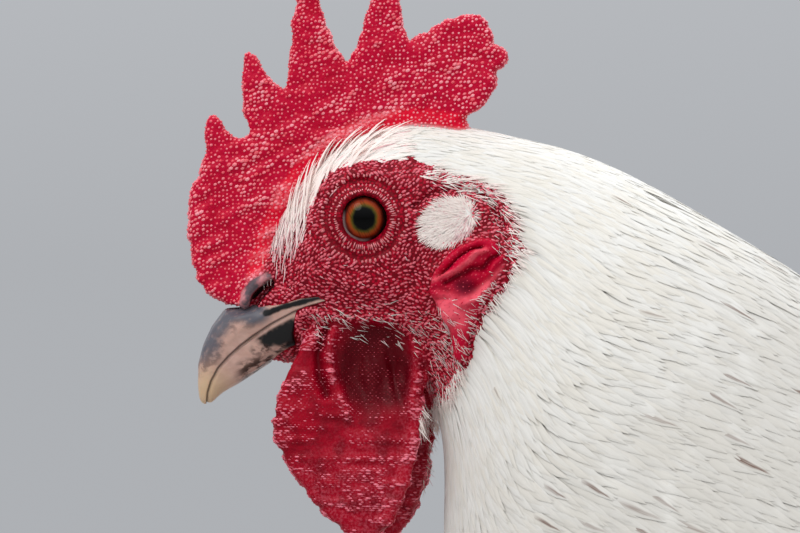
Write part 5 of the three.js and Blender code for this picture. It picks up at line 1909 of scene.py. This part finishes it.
def horn(name, path, radii, node, material):
    """A smooth tapering horn along a curved path, closed at both ends."""
    share = np.linspace(0, 1, HORN_RINGS)
    at = np.linspace(0, 1, len(path))
    points = resampled(np.array(path, float), at, share)
    for _ in range(2):
        points[1:-1] = (points[:-2] + 2 * points[1:-1] + points[2:]) / 4
    radius = np.interp(share, at, radii)
    forward = unit(np.gradient(points, axis=0))
    side = unit(np.cross(forward, [0.0, 0, 1]))
    up = np.cross(side, forward)
    turn = even_turns(HORN_AROUND)
    ring = (points[:, None] + radius[:, None, None] * 0.82 * side[:, None] * np.cos(turn)[None, :, None]
            + radius[:, None, None] * up[:, None] * np.sin(turn)[None, :, None])
    ends = points[[0, -1]] + forward[[0, -1]] * [[-0.4], [0.4]]
    vertices = np.concatenate([ring.reshape(-1, 3), ends])
    faces = [group[:, ::-1] for group in tube_faces(HORN_RINGS, HORN_AROUND)]
    piece = make_object(name, vertices, *faces)
    set_value(piece.data, "along", np.concatenate([np.repeat(share, HORN_AROUND), [0, 1]]))
    enter(piece, material)
    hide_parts(node)


def claws_and_spurs(material):
    """A curved claw on each toe, and a blunt spur that points up and inwards behind each shank."""
    for name, side in SIDES:
        for toe, turn in TOE_TURNS.items():
            low, high = box_of(f"claw_{toe}_{name}")
            angle = math.radians(turn)
            outward = np.array([side * math.sin(angle), -math.cos(angle)])
            middle = (low + high)[:2] / 2
            reach = abs(outward) @ (high - low)[:2] / 2
            root, tip = middle - outward * reach * 1.02, middle + outward * reach * 0.92
            knee = middle - outward * reach * 0.1
            path = [(*root, FLOOR_Z + 4.2), (*knee, FLOOR_Z + 4.6), (*tip, FLOOR_Z + 0.9)]
            horn(f"horn_{toe}_{name}", path, [2.9, 2.0, 0.35], f"claw_{toe}_{name}", material)
        low, high = box_of(f"spur_{name}")
        inner, outer = (low[0], high[0]) if side > 0 else (high[0], low[0])
        knee = (mix(outer, inner, 0.62), mix(low[1], high[1], 0.5), mix(low[2], high[2], 0.28))
        path = [(outer - side * 4, low[1] + 3, low[2] + 4), knee,
                (inner + side * 0.6, high[1] - 0.6, high[2] - 0.6)]
        horn(f"horn_spur_{name}", path, [4.4, 3.0, 0.5], f"spur_{name}", material)


# ---------------------------------------------------------------- feather and horn materials

def feather_material(name, pale, warm, shade, streak_colour, barb_contrast=0.3, painted_neck_shade=0.0):
    """Fine barbs along each plume, a shade of its own for each, painted shade at its root and sometimes a
    dusky shaft. The last argument is how much painted shade greys the coat down the neck and over the body."""
    m = Material(name, Roughness=0.75, Sheen_Weight=0.2, Specular_IOR_Level=0.25)
    along, across, tone = m.value("along"), m.value("across"), m.value("tone")
    barbs = m.barbs(3.2, 0.16)
    drift = m.noise(0.011, 2)
    colour = m.blend(pale, warm, m.span(m.math("ADD", m.times(tone, 0.6), drift), 0.55, 1.1))
    # painted shade: the coat greys down the neck and over the body, broken up by soft noise
    if painted_neck_shade:
        axes = m.node("ShaderNodeSeparateXYZ", {"Vector": m.place}).outputs
        past_eye = EYE_ORIGIN[1] - EYE_ORIGIN[2]
        below = m.math("SUBTRACT", axes["Y"], axes["Z"])
        down_neck = m.times(m.span(below, past_eye + 0.05, past_eye + 0.14, 0, painted_neck_shade),
                            m.span(below, past_eye + 0.18, past_eye + 0.32, 1.0, 0.35))
        colour = m.blend(colour, shade, m.times(down_neck, m.span(drift, 0.25, 0.5, 0.6, 1.0)))
    colour = m.blend(colour, shade, m.times(m.span(barbs, 0.42, 0.7), barb_contrast))
    # painted shade, darker towards each plume's root, where it lies under the others
    colour = m.blend(colour, shade, m.span(along, 0.0, 0.55, 0.35, 0.0))
    middle = m.span(m.math("ABSOLUTE", across), 0.1, 0.62, 1.0, 0.0)
    dash = m.times(m.span(along, 0.45, 0.7), m.span(along, 0.88, 1.0, 1.0, 0.0))
    dash = m.times(m.times(dash, middle), m.value("streak"))
    dash = m.times(dash, m.span(barbs, 0.3, 0.6, 0.55, 1.0))
    colour = m.blend(colour, streak_colour, dash)
    return m.finish(colour)


def black_feather_material():
    """Near-black vanes with a green gloss, and fine barbs."""
    m = Material("tail_feather", Roughness=0.36, Specular_IOR_Level=0.5, Specular_Tint=(0.7, 1.0, 0.82, 1.0),
                 Sheen_Weight=0.12)
    barbs = m.barbs(1.6, 0.1)
    colour = m.blend(linear(18, 18, 20), linear(20, 34, 31), m.span(m.noise(0.03, 2), 0.35, 0.65))
    colour = m.blend(colour, linear(40, 36, 34), m.span(barbs, 0.55, 0.75, 0, 0.6))
    return m.finish(colour, m.bump(barbs, 0.0002, 0.6))


def claw_material():
    """Pale horn, darker towards the tip."""
    m = Material("claw_horn", Roughness=0.34, Coat_Weight=0.1, Coat_Roughness=0.3)
    rings = m.noise(0.0016, 3, m.stretched((1, 1, 3)))
    colour = m.blend(linear(206, 186, 160), linear(150, 122, 96), m.span(rings, 0.35, 0.7))
    colour = m.blend(colour, linear(92, 78, 66), m.span(m.value("along"), 0.5, 1.0, 0, 0.55))
    return m.finish(colour, m.bump(rings, 0.00015, 0.5))


# ---------------------------------------------------------------- the bird

def bird():
    """Every piece of the bird, from the skin outwards."""
    flesh, heights = skin()
    wet_eye = eye_material()
    for name, side in SIDES:
        eye("eye_" + name, side, wet_eye)
    beak(beak_material())
    white = feather_material("white_feather", COAT_WHITE, linear(230, 225, 214), linear(196, 192, 184),
                             linear(112, 86, 74), painted_neck_shade=0.8)
    rosy_white = feather_material("rosy_white_feather", linear(250, 240, 232), linear(246, 230, 222),
                                  linear(218, 188, 186), linear(96, 84, 78), barb_contrast=0.2)
    pink = feather_material("pink_bristle", linear(240, 214, 212), linear(228, 176, 178),
                            linear(190, 110, 116), linear(84, 74, 70))
    roots = SkinRoots(flesh)
    papillae(roots)
    face_bristles(roots, white, rosy_white, pink)
    head_coat(white, rosy_white, pink)
    neck_coat(white)
    hackle_coat(white)
    body_coat(white)
    thigh_coat(white)
    wings(heights, white)
    tail(black_feather_material())
    claws_and_spurs(claw_material())


camera()
studio()
bird()
